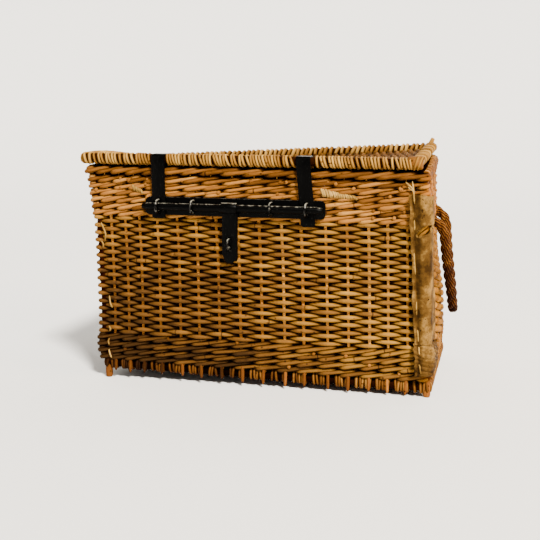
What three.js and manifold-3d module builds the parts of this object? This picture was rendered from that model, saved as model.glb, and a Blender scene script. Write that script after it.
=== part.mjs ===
// A wicker pannier: a woven willow trunk with a flat lid, an iron bolt lock across its front, rope handles
// on its ends and a rawhide guard on one corner. Millimetres, +Z up, the lock faces -Y.
import * as THREE from 'three';
import { mergeVertices } from 'three/addons/utils/BufferGeometryUtils.js';
import Module from 'manifold-3d';

const { clamp, degToRad, lerp, mapLinear, smoothstep } = THREE.MathUtils;

// Clearance between pieces that touch, and the smallest radius of an inside corner.
const GAP = 0.3;
const LEAST_RADIUS = 2;

// Outer shape of the woven body, a row for each height. The old basket is out of true: shift moves a section
// along X, skew is how far its back lies to -X of its front, and bow is how far the middle of each side
// stands out past its corners.
const BODY_SECTIONS = [
  { z: 30, shift: 2.5, skew: 0, halfWidth: 322.5, halfDepth: 182, bow: 3 },
  { z: 58, shift: 2.5, skew: 0, halfWidth: 326.5, halfDepth: 186, bow: 7 },
  { z: 90, shift: 2.5, skew: 0, halfWidth: 324.5, halfDepth: 186, bow: 12 },
  { z: 160, shift: 2, skew: 2, halfWidth: 323.5, halfDepth: 186, bow: 13 },
  { z: 240, shift: 0, skew: 11, halfWidth: 323.5, halfDepth: 187, bow: 4 },
  { z: 318, shift: -2.5, skew: 13, halfWidth: 324, halfDepth: 188, bow: 3 },
  { z: 396, shift: -9.5, skew: 13, halfWidth: 327.5, halfDepth: 190, bow: 1 },
];
// relief is the depth of the grooves between rows of waling. The plain siding lies sidingInset further in,
// and the rim stands rimOut past the wall on both sides.
const BODY = { radius: 15, wall: 15, relief: 3.5, sidingInset: 1, rimOut: 1 };

// Heights of the bands of the wall, and the number of rows of waling in the two ridged ones.
const BANDS = {
  bottomWale: { from: 32, to: 86, rows: 4 },
  siding: { from: 86, to: 318, levels: 6 },
  topWale: { from: 318, to: 396, rows: 6 },
  bodyBorder: { from: 396, to: 412.5 },
};

// The lid and the base are slabs inside a thick wrapped edge. radius is the corner seen from above.
const LID = {
  shift: -20.5, skew: 0, halfWidth: 326.5, halfDepth: 198, bow: 0, radius: 8, edge: 26,
  from: 416.5, to: 440, slab: 14,
};
const BASE = {
  shift: 10, skew: 0, halfWidth: 323, halfDepth: 182, bow: 0, radius: 10, edge: 24,
  from: 7, to: 31.7, slab: 14,
};
// The feet reach drop below the datum from which all heights here count.
const FOOT = { radius: 6.5, inset: 10, drop: 5 };
// The share of a rolled edge's height that each of its bevels takes.
const EDGE_BEVEL = 0.3;

// The old basket's foot falls towards +X, by these amounts for each millimetre along X: the underside of
// the base, and the seam between the base and the wall. The top of the bottom waling stays level.
const SLANT = { base: 0.021, seam: 0.013 };
// The back of the lid and of the body's rim has sunk at the left end and risen a little at the right end.
const SINK = { fromY: -150, toY: 198, fromZ: 318, toZ: 396, left: -22, right: 14 };

// Ironwork. LAYERS gives the Y of the back of each layer in front of the wall, and of the bolt's middle.
const IRON = 3;
const LAYERS = { plate: -192.2, strap: -195.5, hasp: -199.4, bolt: -206.4 };
const PLATE = { left: -215, right: 131, z: 340.5, height: 34, corner: 9 };
const TONGUE = { x: -48, width: 26, tip: 240, corner: 4 };
const BOLT = { left: -218, right: 128, radius: 7, z: 340.5, taper: 12, tip: 4.5 };
const STAPLE = { wire: 2.7, bow: 10.8 };
const STAPLE_PLACES = [-188, -120, 30, 97];
const PADLOCK_STAPLE = { x: -50, z: 273, wire: 2.5, bow: 8 };
const HASP = { x: -48, width: 30, tip: 237, taper: 16, tipWidth: 12, slotWidth: 7.5, slotHeight: 25 };
const STRAPS = [
  { name: 'strap_left', x: -188, width: 26, tip: 317, lean: 0 },
  { name: 'strap_right', x: 97, width: 27, tip: 309, lean: -0.085 },
];
const STRAP = { top: 438.5, tailTop: 362, eyeGap: 0.5, bend: 4, slotWidth: 8, slotHeight: 29.5, chamfer: 6 };
const HINGES = [
  { name: 'hinge_left', x: -190 },
  { name: 'hinge_right', x: 170 },
];
const HINGE = { width: 26, tail: 330, tailTop: 378, clear: 1.6, below: 6 };

// The rawhide wraps the front right corner: its edges are distances round the corner from the middle of
// the bend, negative on the front. It bulges over the post, and its front edge is turned up as a lip.
const HIDE = { thick: 2.2, clear: 1, bulge: 6.5, bulgeReach: 24, lip: 6, lipWidth: 9, columns: 12 };
const HIDE_PIECES = [
  {
    name: 'corner_hide', from: 100, to: 371, levels: 8,
    frontTop: -34, frontFoot: -25, sideTop: 42, sideFoot: 48,
  },
  {
    name: 'corner_hide_foot', from: 36, to: 99.2, levels: 4,
    frontTop: -26, frontFoot: -23, sideTop: 48, sideFoot: 46,
  },
];
const TEAR = { z: 308.5, around: -9.6, halfWidth: 4.5, halfHeight: 15, lean: -0.72, reach: 30 };

// Rope handles. Half of a route, from inside the wall at the front hole to the lowest point: out is the
// distance from the end wall, along is Y and z is the height of the rope's middle. The back half mirrors it.
const ROPE = { radius: 10, hole: 11.6, holeLength: 60, z: 318, along: 95, slope: 25, knotDeep: 25 };
const ROPE_HALF = [
  { out: -21.4, along: -95, z: 328 },
  { out: -10, along: -95, z: 322.7 },
  { out: 0, along: -95, z: 318 },
  { out: 8.5, along: -95, z: 312.5 },
  { out: 15.5, along: -94.5, z: 305 },
  { out: 20, along: -93.5, z: 295.5 },
  { out: 22.5, along: -91.5, z: 281.5 },
  { out: 24, along: -87, z: 265 },
  { out: 26.5, along: -77, z: 242 },
  { out: 30, along: -65, z: 215 },
  { out: 34, along: -53, z: 188 },
  { out: 37.5, along: -41.5, z: 162 },
  { out: 39.5, along: -29, z: 145 },
  { out: 40.5, along: -15, z: 136.5 },
  { out: 41, along: 0, z: 134 },
];
const KNOT = [
  { r: 0, deep: 0 },
  { r: 14, deep: 0 },
  { r: 17, deep: 5 },
  { r: 16, deep: 14 },
  { r: 10, deep: 20 },
  { r: 0, deep: 22 },
];

const willow = new THREE.MeshStandardMaterial({ color: 0xa8682c, roughness: 0.65 });
const paleWillow = new THREE.MeshStandardMaterial({ color: 0xc08a48, roughness: 0.65 });
const iron = new THREE.MeshStandardMaterial({ color: 0x15140f, roughness: 0.45, metalness: 0.8 });
const rawhide = new THREE.MeshStandardMaterial({ color: 0xb48a52, roughness: 0.7 });
const rope = new THREE.MeshStandardMaterial({ color: 0x6b3d1c, roughness: 0.8 });

// Closed meshes and cuts

const wasm = await Module();
wasm.setup();

function geometryOf(points, triangles) {
  const geometry = new THREE.BufferGeometry();
  geometry.setAttribute('position', new THREE.Float32BufferAttribute(points, 3));
  geometry.setIndex(triangles);
  return geometry;
}

function solidOf(geometry) {
  const bare = geometry.clone();
  bare.deleteAttribute('normal');
  bare.deleteAttribute('uv');
  const merged = mergeVertices(bare, 1e-3);
  return new wasm.Manifold(new wasm.Mesh({
    numProp: 3,
    vertProperties: new Float32Array(merged.attributes.position.array),
    triVerts: new Uint32Array(merged.index.array),
  }));
}

function geometryOfSolid(solid) {
  const mesh = solid.getMesh();
  const stride = mesh.numProp;
  const points = [];
  for (let i = 0; i < mesh.vertProperties.length; i += stride) {
    points.push(...mesh.vertProperties.slice(i, i + 3));
  }
  return geometryOf(points, Array.from(mesh.triVerts));
}

function cut(geometry, tools) {
  const solid = tools.reduce((left, tool) => left.subtract(solidOf(tool)), solidOf(geometry));
  return geometryOfSolid(solid);
}

function join(first, second) {
  return geometryOfSolid(solidOf(first).add(solidOf(second)));
}

function piece(name, geometry, material) {
  const mesh = new THREE.Mesh(geometry, material);
  mesh.name = name;
  return mesh;
}

// A flat outline drawn in X and Z, made a plate whose back is at backY.
function plateOf(shape, backY, thick) {
  return new THREE.ExtrudeGeometry(shape, { depth: thick, bevelEnabled: false, curveSegments: 6 })
    .rotateX(Math.PI / 2)
    .translate(0, backY, 0);
}

// A side outline drawn in Y and Z, made a bar of the given width centred on X = 0.
function barOf(shape, width) {
  const along = new THREE.Vector3(1, 0, 0);
  const turned = new THREE.Matrix4().makeBasis(new THREE.Vector3(0, 1, 0), new THREE.Vector3(0, 0, 1), along);
  return new THREE.ExtrudeGeometry(shape, { depth: width, bevelEnabled: false, curveSegments: 6 })
    .translate(0, 0, -width / 2)
    .applyMatrix4(turned);
}

function rodAlong(points, radius, sides, steps) {
  const section = new THREE.Shape().absarc(0, 0, radius, 0, Math.PI * 2);
  const path = new THREE.CatmullRomCurve3(points, false, 'centripetal');
  return new THREE.ExtrudeGeometry(section, { steps, curveSegments: sides / 2, extrudePath: path });
}

function roundedRectangle(left, bottom, right, top, radius) {
  const shape = new THREE.Shape();
  shape.absarc(right - radius, bottom + radius, radius, -Math.PI / 2, 0);
  shape.absarc(right - radius, top - radius, radius, 0, Math.PI / 2);
  shape.absarc(left + radius, top - radius, radius, Math.PI / 2, Math.PI);
  shape.absarc(left + radius, bottom + radius, radius, Math.PI, Math.PI * 1.5);
  shape.closePath();
  return shape;
}

// The woven body: bands, borders, lid and base

const CORNERS = [
  { name: 'front_right', x: 1, y: -1 },
  { name: 'back_right', x: 1, y: 1 },
  { name: 'back_left', x: -1, y: 1 },
  { name: 'front_left', x: -1, y: -1 },
];
const STEPS = { corner: 3, end: 6, front: 10 };

function bodySection(z) {
  const rows = BODY_SECTIONS;
  const last = rows.length - 2;
  const i = Math.max(0, Math.min(last, rows.findIndex((row) => row.z > z) - 1));
  const at = rows.at(-1).z <= z ? last : i;
  const share = clamp(mapLinear(z, rows[at].z, rows[at + 1].z, 0, 1), 0, 1);
  const between = (key) => lerp(rows[at][key], rows[at + 1][key], share);
  return {
    shift: between('shift'), skew: between('skew'), halfWidth: between('halfWidth'),
    halfDepth: between('halfDepth'), bow: between('bow'), radius: BODY.radius,
  };
}

// Old age: slants the foot of the basket, and lowers or lifts the back of what lies near the rim.
function settle(point) {
  const inBase = clamp(mapLinear(point.z, BASE.from, BASE.to, 0, 1), 0, 1);
  const inWale = clamp(mapLinear(point.z, BASE.to, BANDS.bottomWale.to, 0, 1), 0, 1);
  point.z -= point.x * lerp(lerp(SLANT.base, SLANT.seam, inBase), 0, inWale);
  const back = smoothstep(point.y, SINK.fromY, SINK.toY);
  const high = smoothstep(point.z, SINK.fromZ, SINK.toZ);
  point.z += back * high * mapLinear(point.x, -LID.halfWidth, LID.halfWidth, SINK.left, SINK.right);
  return point;
}

// Where the middle of a section lies along X at a distance y towards its back.
function middleX({ shift, skew, halfDepth }, y) {
  return shift - skew * (1 + y / halfDepth) / 2;
}

// One trip round a rounded rectangle whose sides bow, counter-clockwise from above.
function loopOf(section, inset, z) {
  const { halfWidth, halfDepth, bow } = section;
  const radius = Math.max(section.radius - inset, LEAST_RADIUS);
  const cx = halfWidth - inset - radius;
  const cy = halfDepth - inset - radius;
  const loop = [];
  CORNERS.forEach((corner, k) => {
    const start = (k - 1) * Math.PI / 2;
    for (let i = 0; i <= STEPS.corner; i++) {
      const a = start + (i / STEPS.corner) * Math.PI / 2;
      loop.push([corner.x * cx + radius * Math.cos(a), corner.y * cy + radius * Math.sin(a)]);
    }
    const next = CORNERS[(k + 1) % CORNERS.length];
    const [nx, ny] = [Math.cos(start + Math.PI / 2), Math.sin(start + Math.PI / 2)];
    const steps = k % 2 === 0 ? STEPS.end : STEPS.front;
    for (let i = 1; i < steps; i++) {
      const u = i / steps;
      const out = radius + bow * 4 * u * (1 - u);
      loop.push([lerp(corner.x, next.x, u) * cx + nx * out, lerp(corner.y, next.y, u) * cy + ny * out]);
    }
  });
  return loop.map(([x, y]) => settle(new THREE.Vector3(middleX(section, y) + x, y, z)));
}

// Carries a closed profile, listed up the outside and down the inside, round the loop of its section.
function ringOf(profile, sectionAt) {
  const loops = profile.map(({ inset, z }) => loopOf(sectionAt(z), inset, z));
  const count = loops[0].length;
  const triangles = [];
  for (let i = 0; i < loops.length; i++) {
    const above = (i + 1) % loops.length;
    for (let k = 0; k < count; k++) {
      const next = (k + 1) % count;
      const [a, b, c, d] = [i * count + k, i * count + next, above * count + next, above * count + k];
      triangles.push(a, b, c, a, c, d);
    }
  }
  return geometryOf(loops.flat().flatMap((p) => p.toArray()), triangles);
}

// A band of waling: each row is a ridge on the outside.
function waleBand({ from, to, rows }) {
  const outside = [];
  for (let i = 0; i <= rows * 2; i++) {
    outside.push({ inset: i % 2 === 0 ? BODY.relief : 0, z: lerp(from + GAP, to - GAP, i / (rows * 2)) });
  }
  const inside = [
    { inset: BODY.wall, z: to - GAP },
    { inset: BODY.wall, z: (from + to) / 2 },
    { inset: BODY.wall, z: from + GAP },
  ];
  return ringOf([...outside, ...inside], bodySection);
}

function sidingBand({ from, to, levels }) {
  const outside = [];
  const inside = [];
  for (let i = 0; i <= levels; i++) {
    const z = lerp(from + GAP, to - GAP, i / levels);
    outside.push({ inset: BODY.sidingInset, z });
    inside.unshift({ inset: BODY.wall, z });
  }
  return ringOf([...outside, ...inside], bodySection);
}

// A rolled edge: an octagon between two insets and two heights.
function rolledEdge(outer, inner, from, to) {
  const bevel = (to - from) * EDGE_BEVEL;
  return [
    { inset: outer + bevel, z: from },
    { inset: outer, z: from + bevel },
    { inset: outer, z: to - bevel },
    { inset: outer + bevel, z: to },
    { inset: inner - bevel, z: to },
    { inset: inner, z: to - bevel },
    { inset: inner, z: from + bevel },
    { inset: inner - bevel, z: from },
  ];
}

// The slab inside a wrapped edge, in squares so that it follows the sunken back.
function slabOf(frame) {
  const width = (frame.halfWidth - frame.edge - 3 * GAP) * 2;
  const depth = (frame.halfDepth - frame.edge - 3 * GAP) * 2;
  const slab = new THREE.BoxGeometry(width, depth, frame.slab, STEPS.front, STEPS.end, 1);
  slab.translate(frame.shift, 0, (frame.from + frame.to) / 2);
  const place = slab.attributes.position;
  for (let i = 0; i < place.count; i++) {
    const moved = settle(new THREE.Vector3().fromBufferAttribute(place, i));
    place.setXYZ(i, moved.x, moved.y, moved.z);
  }
  return slab;
}

// The end of a corner post, from the floor to just under the top of the base's edge or above it.
function footPost(corner, radius, above) {
  const x = BASE.shift + corner.x * (BASE.halfWidth - FOOT.inset);
  const y = corner.y * (BASE.halfDepth - FOOT.inset);
  const top = settle(new THREE.Vector3(x, y, BASE.to)).z + above;
  const height = top + FOOT.drop;
  return new THREE.CylinderGeometry(radius, radius, height, 12)
    .rotateX(Math.PI / 2)
    .translate(x, y, top - height / 2);
}

function basketPieces() {
  const footHoles = CORNERS.map((corner) => footPost(corner, FOOT.radius + GAP, BASE.to));
  const baseRing = ringOf(rolledEdge(0, BASE.edge, BASE.from, BASE.to), () => BASE);
  const lidRing = ringOf(rolledEdge(0, LID.edge, LID.from, LID.to), () => LID);
  const { from, to } = BANDS.bodyBorder;
  const rim = rolledEdge(-BODY.rimOut, BODY.wall + BODY.rimOut, from + GAP, to);
  return [
    piece('base_panel', slabOf(BASE), willow),
    piece('base_border', cut(baseRing, footHoles), willow),
    ...CORNERS.map((corner) => (
      piece(`foot_${corner.name}`, footPost(corner, FOOT.radius, -4 * GAP), willow))),
    piece('bottom_wale', waleBand(BANDS.bottomWale), willow),
    piece('siding', cut(sidingBand(BANDS.siding), ropeHoles()), willow),
    piece('top_wale', cut(waleBand(BANDS.topWale), ropeHoles()), willow),
    piece('body_border', ringOf(rim, bodySection), willow),
    piece('lid_panel', cut(slabOf(LID), STRAPS.map(eyeNotch)), paleWillow),
    piece('lid_border', cut(lidRing, STRAPS.map(edgeNotch)), paleWillow),
  ];
}

// Ironwork

// The long plate with rounded ends, and under its middle the tongue that carries the padlock staple.
function lockPlate() {
  const { left, right, z, height, corner } = PLATE;
  const bar = roundedRectangle(left, z - height / 2, right, z + height / 2, corner);
  const half = TONGUE.width / 2;
  const tongue = roundedRectangle(TONGUE.x - half, TONGUE.tip, TONGUE.x + half, z, TONGUE.corner);
  return join(plateOf(bar, LAYERS.plate, IRON), plateOf(tongue, LAYERS.plate, IRON));
}

// A loop of round wire that stands out of a face at rootY, with its legs above and below the height z.
function stapleOf(x, z, rootY, reachY, wire, bow) {
  const route = [new THREE.Vector3(x, rootY, z + bow)];
  for (let i = 0; i <= 8; i++) {
    const a = Math.PI / 2 + (i / 8) * Math.PI;
    route.push(new THREE.Vector3(x, reachY + bow * Math.cos(a), z + bow * Math.sin(a)));
  }
  route.push(new THREE.Vector3(x, rootY, z - bow));
  return rodAlong(route, wire, 8, 11);
}

// A strap: an eye round the lid's edge, then a tail that leans back to the plate, with a slot for its staple.
// lean is its slant along X for each millimetre of height.
function strapOf({ x, width, tip, lean }) {
  const { eyeGap, bend, tailTop, chamfer } = STRAP;
  const tailBack = LAYERS.strap;
  const inner = {
    front: -LID.halfDepth - eyeGap, back: -LID.halfDepth + LID.edge + eyeGap,
    low: LID.from - eyeGap, high: STRAP.top - IRON,
  };
  const tailFront = tailBack - IRON;
  const side = new THREE.Shape();
  side.moveTo(inner.front - IRON, inner.high + IRON - bend);
  side.lineTo(inner.front - IRON, LID.from);
  side.lineTo(tailFront, tailTop);
  side.lineTo(tailFront, tip);
  side.lineTo(tailBack, tip);
  side.lineTo(tailBack, tailTop);
  side.lineTo(inner.front + GAP, inner.low - IRON);
  side.lineTo(inner.back, inner.low - IRON);
  side.lineTo(inner.back + IRON, inner.low);
  side.lineTo(inner.back + IRON, inner.high);
  side.lineTo(inner.back, inner.high + IRON);
  side.lineTo(inner.front - IRON + bend, inner.high + IRON);
  side.closePath();
  const eye = new THREE.BoxGeometry(width * 2, inner.back - inner.front, inner.high - inner.low)
    .translate(0, (inner.front + inner.back) / 2, (inner.low + inner.high) / 2);
  const slot = new THREE.BoxGeometry(STRAP.slotWidth, IRON * 4, STRAP.slotHeight)
    .translate(0, tailBack, BOLT.z);
  const cornerOut = chamfer * (Math.SQRT2 - 1);
  const corners = [-1, 1].map((end) => new THREE.BoxGeometry(chamfer * 2, IRON * 4, chamfer * 2)
    .rotateY(Math.PI / 4)
    .translate(end * (width / 2 + cornerOut), tailBack, tip - cornerOut));
  return cut(barOf(side, width), [eye, slot, ...corners])
    .translate(0, 0, -BOLT.z)
    .applyMatrix4(new THREE.Matrix4().makeShear(0, 0, 0, 0, lean, 0))
    .translate(x, 0, BOLT.z);
}

// Room in the lid's slab for the back of a strap's eye.
function eyeNotch({ x, width, lean }) {
  const z = (LID.from + LID.to) / 2;
  const deep = (IRON + STRAP.eyeGap * 2) * 2;
  return new THREE.BoxGeometry(width + STRAP.bend, deep, LID.slab * 2)
    .translate(x + lean * (z - BOLT.z), -LID.halfDepth + LID.edge, z);
}

// Room in the top of the lid's edge, where a strap lies between the wraps.
function edgeNotch({ x, width, lean }) {
  const floor = STRAP.top - IRON - STRAP.eyeGap;
  return new THREE.BoxGeometry(width + STRAP.bend, LID.edge * 4, LID.edge)
    .translate(x + lean * (floor - BOLT.z), -LID.halfDepth, floor + LID.edge / 2);
}

// The bolt: a round bar with tapered tips.
function boltRod() {
  const { left, right, radius, taper, tip, z } = BOLT;
  const profile = [
    [0, left], [tip, left], [radius, left + taper], [radius, right - taper], [tip, right], [0, right],
  ].map(([r, at]) => new THREE.Vector2(r, at));
  return new THREE.LatheGeometry(profile, 24).rotateZ(-Math.PI / 2).translate(0, LAYERS.bolt, z);
}

// The hasp: a flat tongue with a slot for the padlock staple, forged to a collar round the bolt.
function boltHasp() {
  const { x, width, tip, taper, tipWidth, slotWidth, slotHeight } = HASP;
  const back = LAYERS.hasp;
  const half = width / 2;
  const top = BOLT.z - BOLT.radius - GAP;
  const outline = new THREE.Shape();
  outline.moveTo(x - half, top);
  outline.lineTo(x - half, tip + taper);
  outline.lineTo(x - tipWidth / 2, tip);
  outline.lineTo(x + tipWidth / 2, tip);
  outline.lineTo(x + half, tip + taper);
  outline.lineTo(x + half, top);
  outline.closePath();
  const slot = new THREE.BoxGeometry(slotWidth, IRON * 4, slotHeight)
    .translate(PADLOCK_STAPLE.x, back, PADLOCK_STAPLE.z);
  const inside = BOLT.radius + GAP;
  const collarProfile = [
    [inside, -half], [inside + IRON, -half], [inside + IRON, half], [inside, half], [inside, -half],
  ].map(([r, at]) => new THREE.Vector2(r, at));
  const collar = new THREE.LatheGeometry(collarProfile, 24).rotateZ(-Math.PI / 2)
    .translate(x, LAYERS.bolt, BOLT.z);
  return join(cut(plateOf(outline, back, IRON), [slot]), collar);
}

// A plain hinge strap: a tail on the body's back wall that runs on up the back of the lid's edge.
function hingeOf({ x }) {
  const { width, tail, tailTop, clear, below } = HINGE;
  const top = settle(new THREE.Vector3(x, LID.halfDepth, LID.to)).z - below;
  const face = LID.halfDepth + clear;
  const low = bodySection(tailTop).halfDepth + clear + BODY.rimOut;
  const shoulder = settle(new THREE.Vector3(x, LID.halfDepth, LID.from)).z;
  const side = new THREE.Shape();
  side.moveTo(low, tail);
  side.lineTo(low + IRON, tail);
  side.lineTo(low + IRON, tailTop);
  side.lineTo(face + IRON, shoulder);
  side.lineTo(face + IRON, top);
  side.lineTo(face, top);
  side.lineTo(face, shoulder);
  side.lineTo(low, tailTop);
  side.closePath();
  return barOf(side, width).translate(x, 0, 0);
}

function ironPieces() {
  const plateFront = LAYERS.plate - IRON - GAP;
  const { x, z, wire, bow } = PADLOCK_STAPLE;
  return [
    piece('lock_plate', lockPlate(), iron),
    ...STAPLE_PLACES.map((at, i) => piece(
      `bolt_staple_${i + 1}`, stapleOf(at, BOLT.z, plateFront, LAYERS.bolt, STAPLE.wire, STAPLE.bow), iron)),
    piece('padlock_staple', stapleOf(x, z, plateFront, LAYERS.bolt, wire, bow), iron),
    ...STRAPS.map((strap) => piece(strap.name, strapOf(strap), iron)),
    piece('bolt_rod', boltRod(), iron),
    piece('bolt_hasp', boltHasp(), iron),
    ...HINGES.map((hinge) => piece(hinge.name, hingeOf(hinge), iron)),
  ];
}

// Rawhide on the front right corner

// The point that lies the given distance round the front right corner and stands off the body.
function cornerPoint(z, around, off) {
  const section = bodySection(z);
  const { halfWidth, halfDepth, bow, radius } = section;
  const at = (x, y) => new THREE.Vector3(middleX(section, y) + x, y, z);
  const cx = halfWidth - radius;
  const cy = halfDepth - radius;
  const arc = radius * Math.PI / 4;
  const beyond = Math.abs(around) - arc;
  if (beyond <= 0) {
    const a = -Math.PI / 4 + around / radius;
    return at(cx + (radius + off) * Math.cos(a), -cy + (radius + off) * Math.sin(a));
  }
  const side = around < 0 ? cx : cy;
  const u = beyond / (2 * side);
  const out = radius + off + bow * 4 * u * (1 - u);
  return around < 0 ? at(cx - beyond, -cy - out) : at(cx + out, -cy + beyond);
}

function hideOff(around, frontEdge) {
  const bulge = HIDE.bulge * Math.exp(-((around / HIDE.bulgeReach) ** 2));
  const lip = HIDE.lip * (1 - smoothstep(around, frontEdge, frontEdge + HIDE.lipWidth));
  return HIDE.clear + bulge + lip;
}

// A sheet of hide: a grid of levels and columns, an outer and an inner skin and the rim between them.
function hideOf({ from, to, levels, frontTop, frontFoot, sideTop, sideFoot }) {
  const across = HIDE.columns + 1;
  const outer = [];
  const inner = [];
  for (let j = 0; j < levels; j++) {
    const up = j / (levels - 1);
    const front = lerp(frontFoot, frontTop, up);
    const side = lerp(sideFoot, sideTop, up);
    for (let i = 0; i < across; i++) {
      const around = lerp(front, side, i / HIDE.columns);
      const off = hideOff(around, front);
      inner.push(cornerPoint(lerp(from, to, up), around, off));
      outer.push(cornerPoint(lerp(from, to, up), around, off + HIDE.thick));
    }
  }
  const count = outer.length;
  const triangles = [];
  const quad = (a, b, c, d) => triangles.push(a, b, c, a, c, d);
  for (let j = 0; j + 1 < levels; j++) {
    for (let i = 0; i + 1 < across; i++) {
      const at = j * across + i;
      quad(at, at + 1, at + across + 1, at + across);
      quad(count + at, count + at + across, count + at + across + 1, count + at + 1);
    }
    const [left, right] = [j * across, (j + 1) * across - 1];
    quad(left + across, count + left + across, count + left, left);
    quad(right, count + right, count + right + across, right + across);
  }
  const last = (levels - 1) * across;
  for (let i = 0; i + 1 < across; i++) {
    quad(i + 1, i, count + i, count + i + 1);
    quad(last + i, last + i + 1, count + last + i + 1, count + last + i);
  }
  return geometryOf([...outer, ...inner].flatMap((p) => p.toArray()), triangles);
}

// The tear near the top of the hide, a slanting hole through the bend.
function tearTool() {
  const a = -Math.PI / 4 + TEAR.around / BODY.radius;
  const at = cornerPoint(TEAR.z, TEAR.around, HIDE.bulge);
  return new THREE.CylinderGeometry(1, 1, TEAR.reach, 9)
    .scale(TEAR.halfWidth, 1, TEAR.halfHeight)
    .rotateY(TEAR.lean)
    .rotateZ(a - Math.PI / 2)
    .translate(at.x, at.y, at.z);
}

function hidePieces() {
  return HIDE_PIECES.map((row) => {
    const sheet = hideOf(row);
    return piece(row.name, row.to > TEAR.z ? cut(sheet, [tearTool()]) : sheet, rawhide);
  });
}

// Rope handles

// The left handle sits a little further back than the right one.
const ENDS = [
  { name: 'right', side: 1, middle: 0 },
  { name: 'left', side: -1, middle: 25 },
];

// The outside of an end wall at the height of the rope holes.
function endFace(side, y) {
  const section = bodySection(ROPE.z);
  const half = section.halfDepth - BODY.radius;
  const u = (half - ROPE.along) / (2 * half);
  return middleX(section, y) + side * (section.halfWidth + section.bow * 4 * u * (1 - u));
}

// The holes slant down towards the outside, as the rope leaves them.
function ropeHoles() {
  return ENDS.flatMap(({ side, middle }) => [-1, 1].map((end) => {
    const y = middle + end * ROPE.along;
    return new THREE.CylinderGeometry(ROPE.hole, ROPE.hole, ROPE.holeLength, 12)
      .rotateZ(Math.PI / 2)
      .rotateY(side * degToRad(ROPE.slope))
      .translate(endFace(side, y), y, ROPE.z);
  }));
}

function stopperKnot(side, y) {
  const slope = degToRad(ROPE.slope);
  const profile = KNOT.map(({ r, deep }) => new THREE.Vector2(r, deep));
  return new THREE.LatheGeometry(profile, 12)
    .translate(0, ROPE.knotDeep, 0)
    .rotateZ(side * Math.PI / 2)
    .rotateY(side * slope)
    .translate(endFace(side, y), y, ROPE.z);
}

function ropePieces() {
  const backHalf = ROPE_HALF.slice(0, -1).reverse().map((row) => ({ ...row, along: -row.along }));
  return ENDS.flatMap(({ name, side, middle }) => {
    const route = [...ROPE_HALF, ...backHalf].map(({ out, along, z }) => (
      new THREE.Vector3(endFace(side, middle + along) + side * out, middle + along, z)));
    return [
      piece(`handle_rope_${name}`, rodAlong(route, ROPE.radius, 10, 28), rope),
      piece(`handle_knot_${name}_front`, stopperKnot(side, middle - ROPE.along), rope),
      piece(`handle_knot_${name}_back`, stopperKnot(side, middle + ROPE.along), rope),
    ];
  });
}

// Assembly: the origin is the middle of the floor under everything but the ropes.

const basket = new THREE.Group();
basket.add(...basketPieces(), ...ironPieces(), ...hidePieces());
const middle = new THREE.Box3().setFromObject(basket).getCenter(new THREE.Vector3());
basket.add(...ropePieces());
basket.position.set(-middle.x, -middle.y, FOOT.drop);

const pannier = new THREE.Group();
pannier.name = 'pannier';
pannier.add(basket);

export default pannier;
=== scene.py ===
import bpy
import numpy as np
from mathutils import Matrix


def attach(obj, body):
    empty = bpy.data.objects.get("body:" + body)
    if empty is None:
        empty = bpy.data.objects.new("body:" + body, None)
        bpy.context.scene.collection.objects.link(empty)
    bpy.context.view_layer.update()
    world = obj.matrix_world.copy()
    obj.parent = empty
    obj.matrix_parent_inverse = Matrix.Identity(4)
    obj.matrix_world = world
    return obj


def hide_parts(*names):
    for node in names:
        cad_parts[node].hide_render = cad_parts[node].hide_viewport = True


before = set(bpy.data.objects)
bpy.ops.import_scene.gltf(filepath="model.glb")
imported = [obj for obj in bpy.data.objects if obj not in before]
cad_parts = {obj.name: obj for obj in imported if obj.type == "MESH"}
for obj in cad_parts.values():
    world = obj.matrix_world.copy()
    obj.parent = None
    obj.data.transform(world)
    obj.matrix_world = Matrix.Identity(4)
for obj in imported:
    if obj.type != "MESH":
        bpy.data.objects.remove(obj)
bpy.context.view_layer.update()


# The view, the floor and the light
# The pannier stands on a wide pale floor that bends up far behind it, seen from a little above the lid and
# from the right of its lock, through a long lens. The main light falls from above the right front, with soft
# lamps at the front, at the left and on the roped end.

EYE = np.array([0.46226, -2.10974, 0.5468])
LOOK = np.array([-0.21457, 0.96380, -0.15825])
ROLL = np.radians(0.34)
LENS_MM, FAR_CLIP = 71.23, 200
FLOOR_HALF, FLOOR_BEND_FROM, FLOOR_BEND, FLOOR_TOP = 60.0, 3.0, 4.0, 14.0
FLOOR_COLOUR, FLOOR_ROUGH = (0.74, 0.735, 0.725, 1), 0.9
WORLD_COLOUR, WORLD_STRENGTH = (1.0, 0.985, 0.96, 1), 0.4
SUN_STRENGTH, SUN_SPREAD, SUN_COLOUR = 12.0, np.radians(9), (1.0, 0.94, 0.84)
SUN_TURN, SUN_TILT = np.radians(34), np.radians(42)
# Each soft lamp: where it stands, where it aims, the length of its side, its watts and its colour.
SOFT_LAMPS = {
    "front_lamp": ((1.35, -1.9, 2.0), (0.15, 0, 0.32), 0.6, 18, (1.0, 0.91, 0.76)),
    "left_lamp": ((-1.9, -1.7, 2.0), (-0.1, 0, 0.40), 0.7, 12, (1.0, 0.92, 0.80)),
    "right_lamp": ((2.6, -0.7, 1.3), (0.3, 0, 0.25), 0.7, 60, (1.0, 0.74, 0.42)),
}


def shown(name, data):
    """A new object of the scene that holds the data."""
    made = bpy.data.objects.new(name, data)
    bpy.context.scene.collection.objects.link(made)
    return made


def placed(right, up, back, at):
    """The matrix of an object at a point, whose own axes lie along right, up and back."""
    matrix = np.eye(4)
    matrix[:3] = np.stack([right, up, back, at], 1)
    return Matrix(matrix.tolist())


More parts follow.
